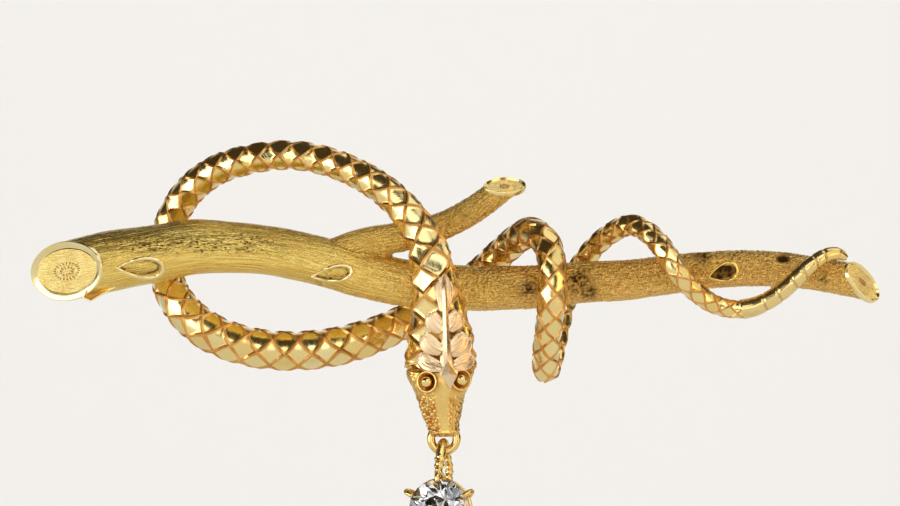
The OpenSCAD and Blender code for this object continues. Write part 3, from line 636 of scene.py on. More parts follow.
def placed(rows):
    return [(x, y + BRANCH_AXIS.y, z + BRANCH_AXIS.z, radius) for x, y, z, radius in rows]


branch = join([wire("stem", placed(STEM_ROWS), 32), wire("twig", placed(TWIG_ROWS), 24),
               wire("fork", placed(FORK_ROWS), 24)], "branch_bark")
modify(branch, "REMESH", mode="VOXEL", voxel_size=BARK_VOXEL)
modify(branch, "SMOOTH", factor=0.5, iterations=5)
print("the branch has", len(branch.data.polygons), "faces")

# %% [markdown]
# ## Bark, knots and pits
# Bark runs along the wood, so its furrows need to know which way the wood runs. Each point of the
# skin is measured against the middle line of the stem or the twig: how far along it lies, and at
# what angle round it. The furrows are noise that is long in the first and short in the second. The
# same measure is kept on the mesh as an attribute, for the finer grain in the material.

# %% Measure along the wood
def measured(points, rows):
    """How far along a line of rows each point lies, its direction round the line, and its depth."""
    line = smooth_rows(rows, 4)
    line[:, :3] += np.array(BRANCH_AXIS)
    z = np.interp(points[:, 0], line[:, 0], line[:, 2])
    radius = np.interp(points[:, 0], line[:, 0], line[:, 3])
    slope = np.interp(points[:, 0], line[:, 0], np.gradient(line[:, 2], line[:, 0]))
    level = 1 / np.sqrt(1 + slope ** 2)
    up = (points[:, 2] - z) * level
    round_it = np.stack([points[:, 1] - BRANCH_AXIS.y, up], axis=1)
    reach = np.linalg.norm(round_it, axis=1)
    along = points[:, 0] / level.mean() + up * slope * level
    return along, round_it / np.maximum(reach, 1e-6)[:, None], reach - radius


def grain(scale_along, scale_round):
    """Noise on the bark, drawn out along the wood."""
    return np.array([noise.noise(Vector((scale_along * a, scale_round * t[0], scale_round * t[1])))
                     for a, t in zip(along, turn)])


shape = points_of(branch)
on_stem, on_twig = measured(shape, STEM_ROWS), measured(shape, TWIG_ROWS)
twig_side = (np.abs(on_twig[2]) < np.abs(on_stem[2])) & (shape[:, 0] > -9) & (shape[:, 2] > 0.6)
along = np.where(twig_side, on_twig[0] + 40, on_stem[0])
turn = np.where(twig_side[:, None], on_twig[1], on_stem[1])
branch.data.attributes.new("along_bark", "FLOAT_VECTOR", "POINT").data.foreach_set(
    "vector", np.stack([along, turn[:, 0], turn[:, 1]], axis=1).ravel())
print("measured", len(along), "points,", int(twig_side.sum()), "of them on the twig")

# %% Chase the bark
FURROW_DEEP, LINE_DEEP, LUMP, STIPPLE_DEEP = 0.03, 0.035, 0.05, 0.05
# Columns: x, z, length and height of each knot, in mm from the branch's axis
KNOTS = [(-21.65, -0.2, 3.2, 1.4), (-8.25, -0.62, 2.8, 1.05), (19.1, -0.55, 2.1, 1.25)]
KNOT_LEAN = [0.0, 0.16, 0.3]             # how far each knot is turned, pointed end down
# Columns: x, z and radius of each darker spot
DARK_SPOTS = [(5.4, -1.6, 0.6), (8.9, -1.1, 0.9), (9.6, -1.9, 0.7), (26.1, -0.95, 0.35), (17.6, 0.6, 0.5),
           (-9.3, -1.5, 0.3)]
# Columns: x, y, z and radius of each pit
PITS = [(23.3, -0.85, 0.5, 0.3)]


def bump_at(value, middle, half):
    return np.exp(-((value - middle) / half) ** 4)


local = shape - np.array(BRANCH_AXIS)
stippled = np.clip((local[:, 0] + 9 + 4 * grain(0.2, 1.0)) / 8, 0, 1)      # from left to right
furrow, fine, dash = grain(0.13, 3.4), grain(0.35, 9), grain(1.1, 11)
lump = grain(0.35, 1.2)
stipple = np.array([noise.noise(Vector(point) / 0.17) for point in shape])
dash_shade = bump_at(local[:, 0], -18, 6.5) * bump_at(local[:, 2], 1.55, 0.75) * (1 - twig_side)
# Painted shade along the top edge of the stem, drawn as more of the dark dashes.
top_edge_shade = bump_at(turn[:, 1], 0.93, 0.1) * (1 - 0.7 * stippled)
dash_shade = np.clip(dash_shade + 0.5 * top_edge_shade, 0, 1)
holes = np.clip((dash - 0.2) * 9, 0, 1) * dash_shade
lift = FURROW_DEEP * (0.3 - np.abs(furrow)) + LINE_DEEP * fine * (1 - 0.6 * stippled) + LUMP * lump \
    + STIPPLE_DEEP * stipple * (0.15 + stippled) - 0.03 * holes
# Painted shade in the pits of the dashes and in the low spots of the stipple.
cut = np.clip(0.5 * holes + np.clip(-stipple * 1.5 - 0.25, 0, 0.2) * stippled, 0, 1)
# Each pit is sunk and painted with shade.
for x, y, z, radius in PITS:
    away = np.linalg.norm((local - (x, y, z))[:, [0, 2]] * (0.7, 1), axis=1)
    hole = np.exp(-(away / radius) ** 4) * (local[:, 1] < 0)
    lift -= 0.3 * hole
    cut = np.maximum(cut, hole)


def teardrop(x, z, length, height, lean, turn_by):
    """A point on the edge of a knot: pointed at the left, round at the right."""
    pinch = np.abs(np.cos(turn_by / 2)) ** 0.9 * 1.25
    a, b = length / 2 * np.cos(turn_by), height / 2 * np.sin(turn_by) * pinch
    return x + a * math.cos(lean) - b * math.sin(lean), z + a * math.sin(lean) + b * math.cos(lean)


for (x, z, length, height), lean in zip(KNOTS, KNOT_LEAN):
    level = (local[:, [0, 2]] - (x, z)) @ np.array(((math.cos(lean), -math.sin(lean)),
                                                    (math.sin(lean), math.cos(lean))))
    flat = level / (length / 2, height / 2)
    reach = np.linalg.norm(flat * (1, 1.1), axis=1) \
        + 0.25 * np.clip(-flat[:, 0], 0, 1) * np.abs(flat[:, 1])
    inside = np.clip((0.95 - reach) / 0.12, 0, 1) * (local[:, 1] < 0)
    lift += inside * (-0.17 + 0.15 * np.clip(1 - reach / 0.75, 0, 1) - lift * 0.5)
    # Painted shadow in a thin line just inside each rim, and painted shade over the sunk knot, heavier
    # on the knot at the right.
    cut = np.maximum(cut, (np.abs(reach - 0.86) < 0.09) * inside * 0.8)
    cut = np.maximum(cut, inside * (0.75 if x > 0 else 0.1))
# Darker spots on the front, strongest where the stipple is low and the lumps high.
for x, z, radius in DARK_SPOTS:
    away = np.linalg.norm(local[:, [0, 2]] - (x, z), axis=1) / radius
    cut = np.maximum(cut, np.exp(-away ** 2) * np.clip(0.7 - 1.2 * stipple + 0.5 * lump, 0, 1)
                     * (local[:, 1] < 0))
keep_number(branch, "cut", cut)
keep_number(branch, "dash_shade", dash_shade)
keep_number(branch, "right", np.clip((local[:, 0] + 10) / 18, 0, 1))
only(branch)
normals = np.zeros(len(shape) * 3)
branch.data.vertices.foreach_get("normal", normals)
put_points(branch, shape + lift[:, None] * normals.reshape(-1, 3))
print("bark from", round(lift.min(), 2), "to", round(lift.max(), 2), "mm")

# %% Raise a rim round each knot
skin = BVHTree.FromObject(branch, bpy.context.evaluated_depsgraph_get())
rims = []
for (x, z, length, height), lean, thick in zip(KNOTS, KNOT_LEAN, (0.135, 0.125, 0.10)):
    rows = []
    for turn_by in np.linspace(0, 2 * math.pi, 18, endpoint=False):
        px, pz = teardrop(x, z + BRANCH_AXIS.z, length, height, lean, turn_by)
        front = skin.ray_cast(Vector((px, -12, pz)), Vector((0, 1, 0)))[0].y
        rows.append((px, front + 0.02, pz, thick + 0.03 * math.cos(turn_by)))
    rims.append(wire("knot_rim", rows, 12, 4, closed=True))
print("rims round", len(rims), "knots")

# %% [markdown]
# ## The chip
# Where the saw left the wood a sliver stands off, and the goldsmith copied it. On the brooch it is
# one small plate with a bright edge round a hollow, and the hollow is painted dark brown for its
# shade. A circle of five corners is set on the outline of the sliver, extruded to its thickness and
# inset twice: the first inset leaves the edge, the second sinks the hollow. Melting it into the
# wood would spoil the oval of the cut.

# %% A chip that stands off beside the cut
# Columns: x and z of the chip's corners, in mm from the branch's axis
CHIP_ROWS = [(-25.75, -2.30), (-25.12, -2.56), (-23.2, -1.45), (-24.3, -1.45), (-25.45, -1.75)]
CHIP_FRONT, CHIP_BACK = -1.05, 0.1
CHIP_EDGE, CHIP_SLOPE, CHIP_HOLLOW = 0.09, 0.06, 0.35
bpy.ops.object.select_all(action="DESELECT")
bpy.ops.mesh.primitive_circle_add(vertices=len(CHIP_ROWS), radius=1, fill_type="NGON")
chip = bpy.context.object
put_points(chip, np.array([(x, CHIP_BACK, z) for x, z in CHIP_ROWS]) + np.array(BRANCH_AXIS))
open_edit(chip)
bpy.ops.mesh.extrude_region_move(TRANSFORM_OT_translate={"value": (0, CHIP_FRONT - CHIP_BACK, 0)})
chip.data.materials.append(material_called("branch_rim"))
chip.data.materials.append(material_called("branch_pith"))
bpy.ops.mesh.inset(thickness=CHIP_EDGE, depth=0.0)
bpy.ops.mesh.inset(thickness=CHIP_SLOPE, depth=-CHIP_HOLLOW)
# The sunk hollow takes the dark brown of the pith: painted shade.
chip.active_material_index = 1
bpy.ops.object.material_slot_assign()
bpy.ops.mesh.select_all(action="SELECT")
bpy.ops.mesh.normals_make_consistent(inside=False)
close_edit()
modify(chip, "BEVEL", width=0.03, segments=2)
only(chip)
bpy.ops.object.shade_smooth_by_angle(angle=math.radians(40))
print("the chip has", len(chip.data.polygons), "faces")

# %% [markdown]
# ## Sawn ends
# Each end of the wood is cut across. A polished rim frames the cut, the face inside lies a little
# deeper, and the engraver drew the grain and the pith on it with single strokes. Bisect makes the
# cut; a disc with two insets makes the cap, and it is stretched to the oval of the cut.

# %% Saw the wood
# Where each cut is, in mm from the branch's axis, which way it faces, its rim's width and the
# half length and half height of its pith
CUTS = {
    "left": ((-27.0, 0, -0.5), (-1, -1.23, -0.32), 0.42, (1.15, 0.55)),
    "right": ((28.97, 0, -1.2), (1, -0.74, 0.42), 0.13, (0.34, 0.2)),
    "twig": ((3.88, 0, 5.6), (0.2, -0.75, 1), 0.13, (0.34, 0.2)),
}
for name in ("bark", "rim", "sawn", "pith"):
    branch.data.materials.append(material_called("branch_" + name))
ovals = {}
for name, (place, facing, rim_width, pith) in CUTS.items():
    facing = Vector(facing).normalized()
    centre = Vector(place) + BRANCH_AXIS
    open_edit(branch)
    bpy.ops.mesh.bisect(plane_co=centre - 0.1 * facing, plane_no=facing, use_fill=True,
                        clear_outer=True)
    close_edit()
    shape = points_of(branch)
    edge = shape[np.abs((shape - np.array(centre)) @ np.array(facing) + 0.1) < 0.002]
    middle = np.array([(edge[:, k].min() + edge[:, k].max()) / 2 for k in range(3)])
    axes = np.linalg.eigh(np.cov((edge - middle).T))[1]
    half = [np.percentile(np.abs((edge - middle) @ axes[:, k]), 96) for k in (1, 2)]
    ovals[name] = (Vector(middle) + 0.1 * facing, facing, Vector(axes[:, 2]), 1.05 * half[1],
                   1.0 * half[0])
    print(name, "cut is", round(2 * ovals[name][3], 2), "by", round(2 * ovals[name][4], 2), "mm")

# %% Cap the ends
def stroke(length, thick):
    """One stroke of the graver, as a thin raised line along X."""
    bpy.ops.object.select_all(action="DESELECT")
    bpy.ops.mesh.primitive_uv_sphere_add(segments=8, ring_count=6, radius=1)
    made = bpy.context.object
    made.scale = (length / 2, thick, thick)
    bpy.ops.object.transform_apply(scale=True)
    bpy.ops.object.shade_smooth()
    return made


def copy_at(obj, x, y, angle=0.0, size=1.0):
    """A copy with its own mesh, turned and moved on the cap."""
    only(obj)
    bpy.ops.object.duplicate()
    made = bpy.context.object
    made.scale = (size, 1, 1)
    made.rotation_euler.z = angle
    made.location = (x, y, made.location.z)
    bpy.ops.object.transform_apply(location=True, rotation=True, scale=True)
    return made


caps = []
for name, (centre, facing, long_way, half_long, half_wide) in ovals.items():
    rim_width, (pith_long, pith_high) = CUTS[name][2:]
    bpy.ops.object.select_all(action="DESELECT")
    bpy.ops.mesh.primitive_circle_add(vertices=72, radius=1, fill_type="NGON", location=(0, 0, -0.3))
    made = bpy.context.object
    bpy.ops.object.transform_apply(location=True)
    for part in ("rim", "sawn"):
        made.data.materials.append(bpy.data.materials["branch_" + part])
    open_edit(made)
    bpy.ops.transform.resize(value=(half_long + 0.03, half_wide + 0.03, 1))
    bpy.ops.mesh.extrude_region_move(TRANSFORM_OT_translate={"value": (0, 0, 0.3)})
    bpy.ops.mesh.inset(thickness=0.03, depth=0.05, use_even_offset=True)
    bpy.ops.mesh.inset(thickness=0.3 * rim_width, depth=0.0, use_even_offset=True)
    bpy.ops.mesh.inset(thickness=0.8 * rim_width, depth=-0.13, use_even_offset=True)
    bpy.ops.mesh.inset(thickness=0.05, depth=0.035, use_even_offset=True)
    bpy.ops.mesh.inset(thickness=0.03, depth=-0.03, use_even_offset=True)
    made.active_material_index = 1
    bpy.ops.object.material_slot_assign()
    bpy.ops.mesh.select_all(action="SELECT")
    bpy.ops.mesh.normals_make_consistent(inside=False)
    close_edit()
    only(made)
    bpy.ops.object.shade_smooth_by_angle(angle=math.radians(35))
    inner = (half_long - rim_width - 0.1, half_wide - rim_width - 0.1)
    line, short = stroke(1.0, 0.04), stroke(0.26, 0.05)
    strokes, hand = [], random.Random(3)
    for y in np.linspace(-0.85, 0.85, 9):
        reach = math.sqrt(1 - y * y) * inner[0]
        strokes.append(copy_at(line, hand.uniform(-0.15, 0.15) * reach, y * inner[1], 0.03,
                               1.6 * reach * hand.uniform(0.7, 1)))
    for ring, count in ((1.0, 22), (0.5, 11)):
        for angle in np.linspace(0, 2 * math.pi, count, endpoint=False):
            strokes.append(copy_at(short, ring * pith_long * math.cos(angle),
                                   ring * pith_high * math.sin(angle),
                                   math.atan2(pith_high * math.sin(angle), pith_long * math.cos(angle)),
                                   min(1, pith_long / 0.85) * (0.6 + 0.6 * hand.random())))
    for obj in (line, short):
        bpy.data.objects.remove(obj)
    for obj, part in [(obj, "rim") for obj in strokes[:9]] + [(obj, "pith") for obj in strokes[9:]]:
        obj.data.materials.append(bpy.data.materials["branch_" + part])
    strokes = join(strokes, "strokes")
    open_edit(strokes)
    bpy.ops.transform.translate(value=(0, 0, -0.07))
    close_edit()
    made = join([made, strokes], name + "_cap")
    upright = long_way if long_way.x > 0 else -long_way
    side = facing.cross(upright)
    shape = points_of(made)
    put_points(made, np.array(centre) + shape @ np.array([upright, side, facing]))
    caps.append(made)
for rim, part in zip(rims, ("rim", "rim", "bark")):
    rim.data.materials.append(bpy.data.materials["branch_" + part])
only(branch)
bpy.ops.object.shade_smooth()
branch = join([branch, chip] + rims + caps, "branch_bark")
print("sawn and capped, with", len(branch.data.polygons), "faces")

# %% [markdown]
# ## The leaf on the head
# A rose-gold leaf lies along the neck: seven lobes that fan out from a rib, and the rib ends in a
# little kite between the eyes. A lobe is a grid, so that its outline, its dome and its veins can
# each be a simple rule across the grid. It is laid on the oval of the head, and then given its
# thickness.

# %% Lay the lobes on the head
# Columns: x and z at the root, x and z at the tip, half width, point
LOBES = [
    (-0.40, -3.20, -0.50, -0.72, 0.56, 0.9),
    (-0.15, -4.55, 0.46, -3.30, 0.56, 0.4), (-0.06, -6.15, 1.04, -4.90, 0.72, 0.4),
    (0.14, -7.10, 1.42, -6.28, 0.54, 0.4),
    (-0.58, -4.65, -1.32, -3.37, 0.56, 0.4), (-0.58, -6.05, -1.82, -4.94, 0.62, 0.4),
    (-0.58, -7.15, -2.12, -6.38, 0.54, 0.4),
]
# Columns: x, z, half width, height
RIB_ROWS = [
    (-0.51, -0.85, 0.07, 0.22), (-0.48, -1.60, 0.10, 0.34), (-0.43, -2.40, 0.12, 0.40),
    (-0.38, -3.30, 0.15, 0.42), (-0.34, -4.20, 0.20, 0.44), (-0.31, -5.10, 0.26, 0.46),
    (-0.27, -5.90, 0.32, 0.46), (-0.22, -6.60, 0.42, 0.34), (-0.14, -7.50, 0.60, 0.10),
    (-0.12, -8.10, 0.20, 0.02),
]
LOBE_WIDEST = 0.62
LEAF_GAP = 0.06
LEAF_SHEET = 0.1             # the leaf's thickness at its edges
BED = np.array(sorted(
    [(z, x, half, (front + back) / 2, (back - front) / 2)
     for z, x, half, front, back in HEAD_ROWS if z < -6.5]
    + [(row[2], row[0], row[3], row[1], row[4]) for row in SNAKE_ROUTE[1:6]]))


def on_the_head(x, z, lift):
    """The point of the head's front at x and z, lifted outward."""
    middle, half, back, depth = (np.interp(z, BED[:, 0], BED[:, k]) for k in range(1, 5))
    u = (x - middle) / half
    v = np.sqrt(np.maximum(0.05, 1 - u * u))
    out = np.stack([u / half, -v / depth, 0 * u], axis=-1)
    out /= np.linalg.norm(out, axis=-1)[..., None]
    return np.stack([x, back - depth * v, z], axis=-1) + out * np.asarray(lift)[..., None] \
        + np.array(BRANCH_AXIS)


def grid_piece(name, columns, rows):
    """A flat grid from -1 to 1 across and from 0 to 1 along."""
    bpy.ops.object.select_all(action="DESELECT")
    bpy.ops.mesh.primitive_grid_add(x_subdivisions=columns, y_subdivisions=rows, size=2)
    made = bpy.context.object
    made.name = name
    shape = points_of(made)
    return made, shape[:, 0], (shape[:, 1] + 1) / 2


lobes = []
for root_x, root_z, tip_x, tip_z, half, point in LOBES:
    lobe, v, u = grid_piece("lobe", 26, 26)
    u = 1 - (1 - u) ** 1.35
    width = np.where(u < LOBE_WIDEST, 0.55 + 0.45 * np.sin(np.pi / 2 * u / LOBE_WIDEST),
                     (1 - ((u - LOBE_WIDEST) / (1.02 - LOBE_WIDEST)).clip(0) ** 2) ** point)
    root, tip = np.array((root_x, root_z)), np.array((tip_x, tip_z))
    span = tip - root
    cross = np.array((span[1], -span[0])) / np.linalg.norm(span)
    bow = 0.22 * np.sign(tip_x + 0.45) * (point < 0.6)
    scallop = 1 + 0.04 * np.cos(3 * np.pi * v) * u ** 3
    place = root + np.outer(u * scallop, span) \
        + (half * (width * v + bow * np.sin(np.pi * u)))[:, None] * cross
    veins = np.abs(np.sin(np.pi * 3.5 * (v + 0.15 * np.sign(v) * u))) ** 3 \
        * np.sin(np.pi * u.clip(0.1, 0.9))
    edge = np.exp(-((1 - np.abs(v)) / 0.09) ** 2) + np.exp(-((1 - u) / 0.06) ** 2)
    midrib = np.exp(-(v / 0.12) ** 2) * (1 - u)
    lift = LEAF_GAP + LEAF_SHEET + 0.17 * (1 - v ** 4) * (1 - 0.5 * u) + 0.07 * edge \
        - 0.025 * veins + 0.05 * midrib
    put_points(lobe, on_the_head(place[:, 0], place[:, 1], lift))
    # Painted shade in the veins, fading at the edges.
    keep_number(lobe, "cut", 0.35 * veins * (1 - edge.clip(0, 1)))
    lobes.append(lobe)

# %% The rib and the kite
rib, v, u = grid_piece("rib", 4, 36)
rib_table = smooth_rows(RIB_ROWS, 6)
rib_at = np.linspace(0, 1, len(rib_table))
x, z, half, high = (np.interp(u, rib_at, rib_table[:, k]) for k in range(4))
put_points(rib, on_the_head(x + v * half, z, LEAF_GAP + 0.04 + high * (1 - np.abs(v)) ** 0.6))

# Columns: x, z, height above the head; the last row is the kite's crest
KITE_ROWS = [(-0.27, -6.62, 0.60), (-0.64, -7.70, 0.34), (-0.06, -8.62, 0.26), (0.40, -7.68, 0.34),
             (-0.13, -7.55, 0.84)]
bpy.ops.object.select_all(action="DESELECT")
bpy.ops.mesh.primitive_circle_add(vertices=4, radius=1, fill_type="NGON")
kite = bpy.context.object
open_edit(kite)
bpy.ops.mesh.extrude_region_move(TRANSFORM_OT_translate={"value": (0, 0, 1)})
bpy.ops.mesh.poke()
close_edit()
shape = points_of(kite)
placed_kite = []
for x, y, z in shape:
    if abs(x) + abs(y) < 0.1:
        row = 4
    else:
        row = int(round((math.degrees(math.atan2(x, y)) % 360) / 90)) % 4
        row = (0, 3, 2, 1)[row]
    x, level, high = KITE_ROWS[row]
    placed_kite.append(on_the_head(np.array([x]), np.array([level]), [high if z > 0.5 else 0.1])[0])
put_points(kite, placed_kite)
outward(kite)
for piece in lobes + [rib]:
    modify(piece, "SOLIDIFY", thickness=LEAF_SHEET, offset=-1)
    outward(piece)
    only(piece)
    bpy.ops.object.shade_smooth_by_angle(angle=math.radians(20 if piece is rib else 50))
    piece.data.materials.append(material_called("rose_gold"))
kite.data.materials.append(material_called("kite_gold"))
leaf = join(lobes + [rib, kite], "leaf_lobes")
print("the leaf has", len(leaf.data.polygons), "faces")

# %% [markdown]
# ## The drop
# A diamond in six claws hangs from the ring by a bail. The stone is cut already. The setting is
# wire work: a spun collet, claws bent over the stone's edge, and a long bail whose two legs reach
# down to the front and the back of the collet.

# %% The setting
DROP_PIVOT = Vector((-0.43, -3.2, -13.0)) + BRANCH_AXIS
DROP_TURN = math.radians(-17)
STONE_CENTRE = Vector((0, 0.12, -4.12))
COLLET_TOP = 2.3                         # the collet's radius at its front
CLAW_COUNT = 6
BAIL_ARCH, BAIL_WIRE, CLAW_WIRE = 0.63, 0.25, 0.22
BAIL_FRONT = [(-0.88, -0.55, 1.5), (-1.16, -1.05, 1.3), (-1.34, -1.45, 1.0), (-1.3, -1.75, 0.65)]
BAIL_BACK = [(0.93, -0.5, 1.04), (1.24, -1, 1.08), (1.3, -1.5, 1.1), (1.1, -2.0, 1.1),
             (0.95, -2.4, 1.0)]
CLAW_ROWS = [(2.14, -0.35, 1.15), (2.68, -1.15, 1.0), (2.52, -1.64, 0.95), (2.07, -1.76, 0.8)]

arch = [(0, BAIL_ARCH * math.sin(a), BAIL_ARCH * math.cos(a), BAIL_WIRE * (1.2 - 0.2 * math.sin(a)))
        for a in np.radians([-75, -45, -15, 15, 45, 75])]
bail_rows = [(0, y, z, BAIL_WIRE * share) for y, z, share in reversed(BAIL_FRONT)] + arch \
    + [(0, y, z, BAIL_WIRE * share) for y, z, share in BAIL_BACK]
bail = wire("bail", bail_rows, 24, 14)
shape = points_of(bail)
legs = np.clip((-0.1 - shape[:, 2]) / 0.3, 0, 1)
middle = np.array([shape[(np.abs(shape[:, 2] - z) < 0.06) & ((shape[:, 1] < 0) == (y < 0))].mean(0)
                   for x, y, z in shape])
out = shape - middle
twist = np.arctan2(out[:, 0], out[:, 1])
chased = np.abs(np.sin(twist + 6.5 * shape[:, 2])) * np.abs(np.sin(twist - 6.5 * shape[:, 2]))
put_points(bail, shape - 0.28 * (legs * (0.5 - chased))[:, None] * out * (1, 1, 0))

bpy.ops.object.select_all(action="DESELECT")
bpy.ops.mesh.primitive_circle_add(vertices=64, radius=COLLET_TOP, rotation=(math.radians(90), 0, 0),
                                  location=STONE_CENTRE + Vector((0, -0.85, 0)))
collet = bpy.context.object
bpy.ops.object.transform_apply(location=True, rotation=True)
open_edit(collet)
for step, size in ((0.3, 0.98), (0.5, 0.93), (0.55, 0.88), (0.5, 0.9), (0.3, 0.96)):
    bpy.ops.mesh.extrude_region_move(TRANSFORM_OT_translate={"value": (0, step, 0)})
    bpy.ops.transform.resize(value=(size, 1, size), center_override=STONE_CENTRE)
close_edit()
modify(collet, "SOLIDIFY", thickness=0.28, offset=-1)
modify(collet, "BEVEL", width=0.06, segments=2, limit_method="ANGLE")
outward(collet)
only(collet)
bpy.ops.object.shade_smooth_by_angle(angle=math.radians(40))

claws = [wire("claw", [(0, STONE_CENTRE.y + y, STONE_CENTRE.z + radius, CLAW_WIRE * share)
                       for radius, y, share in CLAW_ROWS], 12)]
for turn in range(1, CLAW_COUNT):
    only(claws[0])
    bpy.ops.object.duplicate()
    claw = bpy.context.object
    open_edit(claw)
    bpy.ops.transform.rotate(value=math.radians(360 / CLAW_COUNT * turn), orient_axis="Y",
                             center_override=STONE_CENTRE)
    close_edit()
    claws.append(claw)
setting = join([bail, collet] + claws, "setting")
open_edit(setting)
bpy.ops.transform.rotate(value=-DROP_TURN, orient_axis="Z", center_override=(0, 0, 0))
bpy.ops.transform.translate(value=DROP_PIVOT)
close_edit()
print("the setting has", len(setting.data.polygons), "faces")

# %% [markdown]
# ## The stone
# The mechanical model already holds the stone with its flat facets, so its mesh is copied, merged
# and shaded flat. An old-cut diamond shows each facet in a grey of its own, because each one
# throws back another part of the room. Every face gets a number for that, and the material reads
# it later.

# %% The stone
def copy_of(node, name):
    """A merged copy of a CAD node's mesh, in millimetres."""
    made = bpy.data.objects.new(name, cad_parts[node].data.copy())
    made.data.name = name
    bpy.context.scene.collection.objects.link(made)
    put_points(made, points_of(made) / MM)
    open_edit(made)
    bpy.ops.mesh.remove_doubles(threshold=0.001)
    bpy.ops.mesh.customdata_custom_splitnormals_clear()
    close_edit()
    return made


stone = copy_of("drop_diamond", "diamond")
only(stone)
bpy.ops.object.shade_flat()
hand = random.Random(11)
stone.data.attributes.new("tone", "FLOAT", "FACE").data.foreach_set(
    "value", [hand.random() for _ in stone.data.polygons])
print("the stone has", len(stone.data.polygons), "facets")

# %% [markdown]
# ## The finishes
# Gold of three colours does the talking here: green-gold lozenges with a mirror polish, matt bark,
# and the rose leaf. The grooves between the lozenges are painted a deeper red-gold for their shade
# and for the glow the gold throws into them. A metal in Blender is one Principled shader with
# Metallic at 1; its base colour is the colour of the reflection. What makes it look worked and worn
# is small: fine lines of the tool and a slow drift of colour, and painted shade darkens the cuts.
# Each of these is a node group, built once and set differently in every material.

# %% Helpers for node trees
def add(tree, kind, wires={}, **settings):
    """Add a node, set it, and wire its inputs to sockets or give them values."""
    node = tree.nodes.new(kind)
    for name, value in settings.items():
        setattr(node, name, value)
    for name, source in wires.items():
        wire_or_set(tree, node.inputs[name], source)
    return node


def wire_or_set(tree, socket, value):
    """Wire a socket to another one, or give it a value."""
    if isinstance(value, bpy.types.NodeSocket):
        tree.links.new(value, socket)
    else:
        socket.default_value = value


def blend(tree, share, first, second):
    """The colour between first and second, by share."""
    node = add(tree, "ShaderNodeMix", data_type="RGBA")
    for socket, source in ((0, share), (6, first), (7, second)):
        wire_or_set(tree, node.inputs[socket], source)
    return node.outputs[2]


def node_group(name, takes, gives):
    """A node group with named inputs and outputs, and its inner ends."""
    tree = bpy.data.node_groups.new(name, "ShaderNodeTree")
    for socket, kind, value in takes:
        tree.interface.new_socket(socket, in_out="INPUT", socket_type=kind).default_value = value
    for socket, kind in gives:
        tree.interface.new_socket(socket, in_out="OUTPUT", socket_type=kind)
    return tree, tree.nodes.new("NodeGroupInput").outputs, tree.nodes.new("NodeGroupOutput").inputs


FLOAT, COLOUR, VECTOR = "NodeSocketFloat", "NodeSocketColor", "NodeSocketVector"

# %% Tool lines
tool_lines, took, given = node_group(
    "tool_lines", [("Place", VECTOR, (0, 0, 0)), ("Stretch", VECTOR, (900, 900, 9000)),
                   ("Turn", FLOAT, 0.0)], [("Height", FLOAT), ("Mask", FLOAT)])
turned = add(tool_lines, "ShaderNodeVectorRotate",
             {"Vector": took["Place"], "Axis": (0, 1, 0), "Angle": took["Turn"]},
             rotation_type="AXIS_ANGLE")
drawn = add(tool_lines, "ShaderNodeVectorMath", {0: turned.outputs[0], 1: took["Stretch"]},
            operation="MULTIPLY")
lines = add(tool_lines, "ShaderNodeTexNoise",
            {"Vector": drawn.outputs[0], "Scale": 1.0, "Detail": 3.0, "Roughness": 0.6})
mask = add(tool_lines, "ShaderNodeMapRange",
           {"Value": lines.outputs["Fac"], "From Min": 0.35, "From Max": 0.65})
tool_lines.links.new(lines.outputs["Fac"], given["Height"])
tool_lines.links.new(mask.outputs[0], given["Mask"])

# %% Drift of colour
colour_drift, took, given = node_group(
    "colour_drift", [("Place", VECTOR, (0, 0, 0)), ("Size", FLOAT, 300.0), ("Share", FLOAT, 0.5),
                     ("Light", COLOUR, (1, 1, 1, 1)), ("Deep", COLOUR, (1, 1, 1, 1))],
    [("Colour", COLOUR), ("Mask", FLOAT)])
cloud = add(colour_drift, "ShaderNodeTexNoise",
            {"Vector": took["Place"], "Scale": took["Size"], "Detail": 4.0, "Roughness": 0.65})
mask = add(colour_drift, "ShaderNodeMapRange",
           {"Value": cloud.outputs["Fac"], "From Min": 0.35, "From Max": 0.65})
part = add(colour_drift, "ShaderNodeMath", {0: mask.outputs[0], 1: took["Share"]},
           operation="MULTIPLY")
colour_drift.links.new(blend(colour_drift, part.outputs[0], took["Light"], took["Deep"]),
                       given["Colour"])
colour_drift.links.new(mask.outputs[0], given["Mask"])

# %% Painted shade in the cuts
cut_shade_group, took, given = node_group(
    "painted_shade_in_cuts", [("Colour", COLOUR, (1, 1, 1, 1)), ("Shade", COLOUR, (0.1, 0.04, 0.01, 1)),
                     ("Depth", FLOAT, 0.0), ("Share", FLOAT, 1.0), ("Place", VECTOR, (0, 0, 0)),
                     ("Rough outside cuts", FLOAT, 0.2), ("Rough in cuts", FLOAT, 0.6)],
    [("Colour", COLOUR), ("Roughness", FLOAT)])
cloud = add(cut_shade_group, "ShaderNodeTexNoise",
            {"Vector": took["Place"], "Scale": 1500.0, "Detail": 3.0, "Roughness": 0.6})
patchy = add(cut_shade_group, "ShaderNodeMapRange",
             {"Value": cloud.outputs["Fac"], "From Min": 0.3, "From Max": 0.6, "To Min": 0.35})
# Painted shade: the colour darkens, in patches, towards the shade colour where Depth marks a cut.
part = add(cut_shade_group, "ShaderNodeMath", {0: took["Depth"], 1: took["Share"]}, operation="MULTIPLY")
part = add(cut_shade_group, "ShaderNodeMath", {0: part.outputs[0], 1: patchy.outputs[0]},
           operation="MULTIPLY", use_clamp=True)
rough = add(cut_shade_group, "ShaderNodeMapRange", {"Value": part.outputs[0], "To Min": took["Rough outside cuts"],
                                         "To Max": took["Rough in cuts"]})
cut_shade_group.links.new(blend(cut_shade_group, part.outputs[0], took["Colour"], took["Shade"]), given["Colour"])
cut_shade_group.links.new(rough.outputs[0], given["Roughness"])
print("node groups:", [tree.name for tree in bpy.data.node_groups])


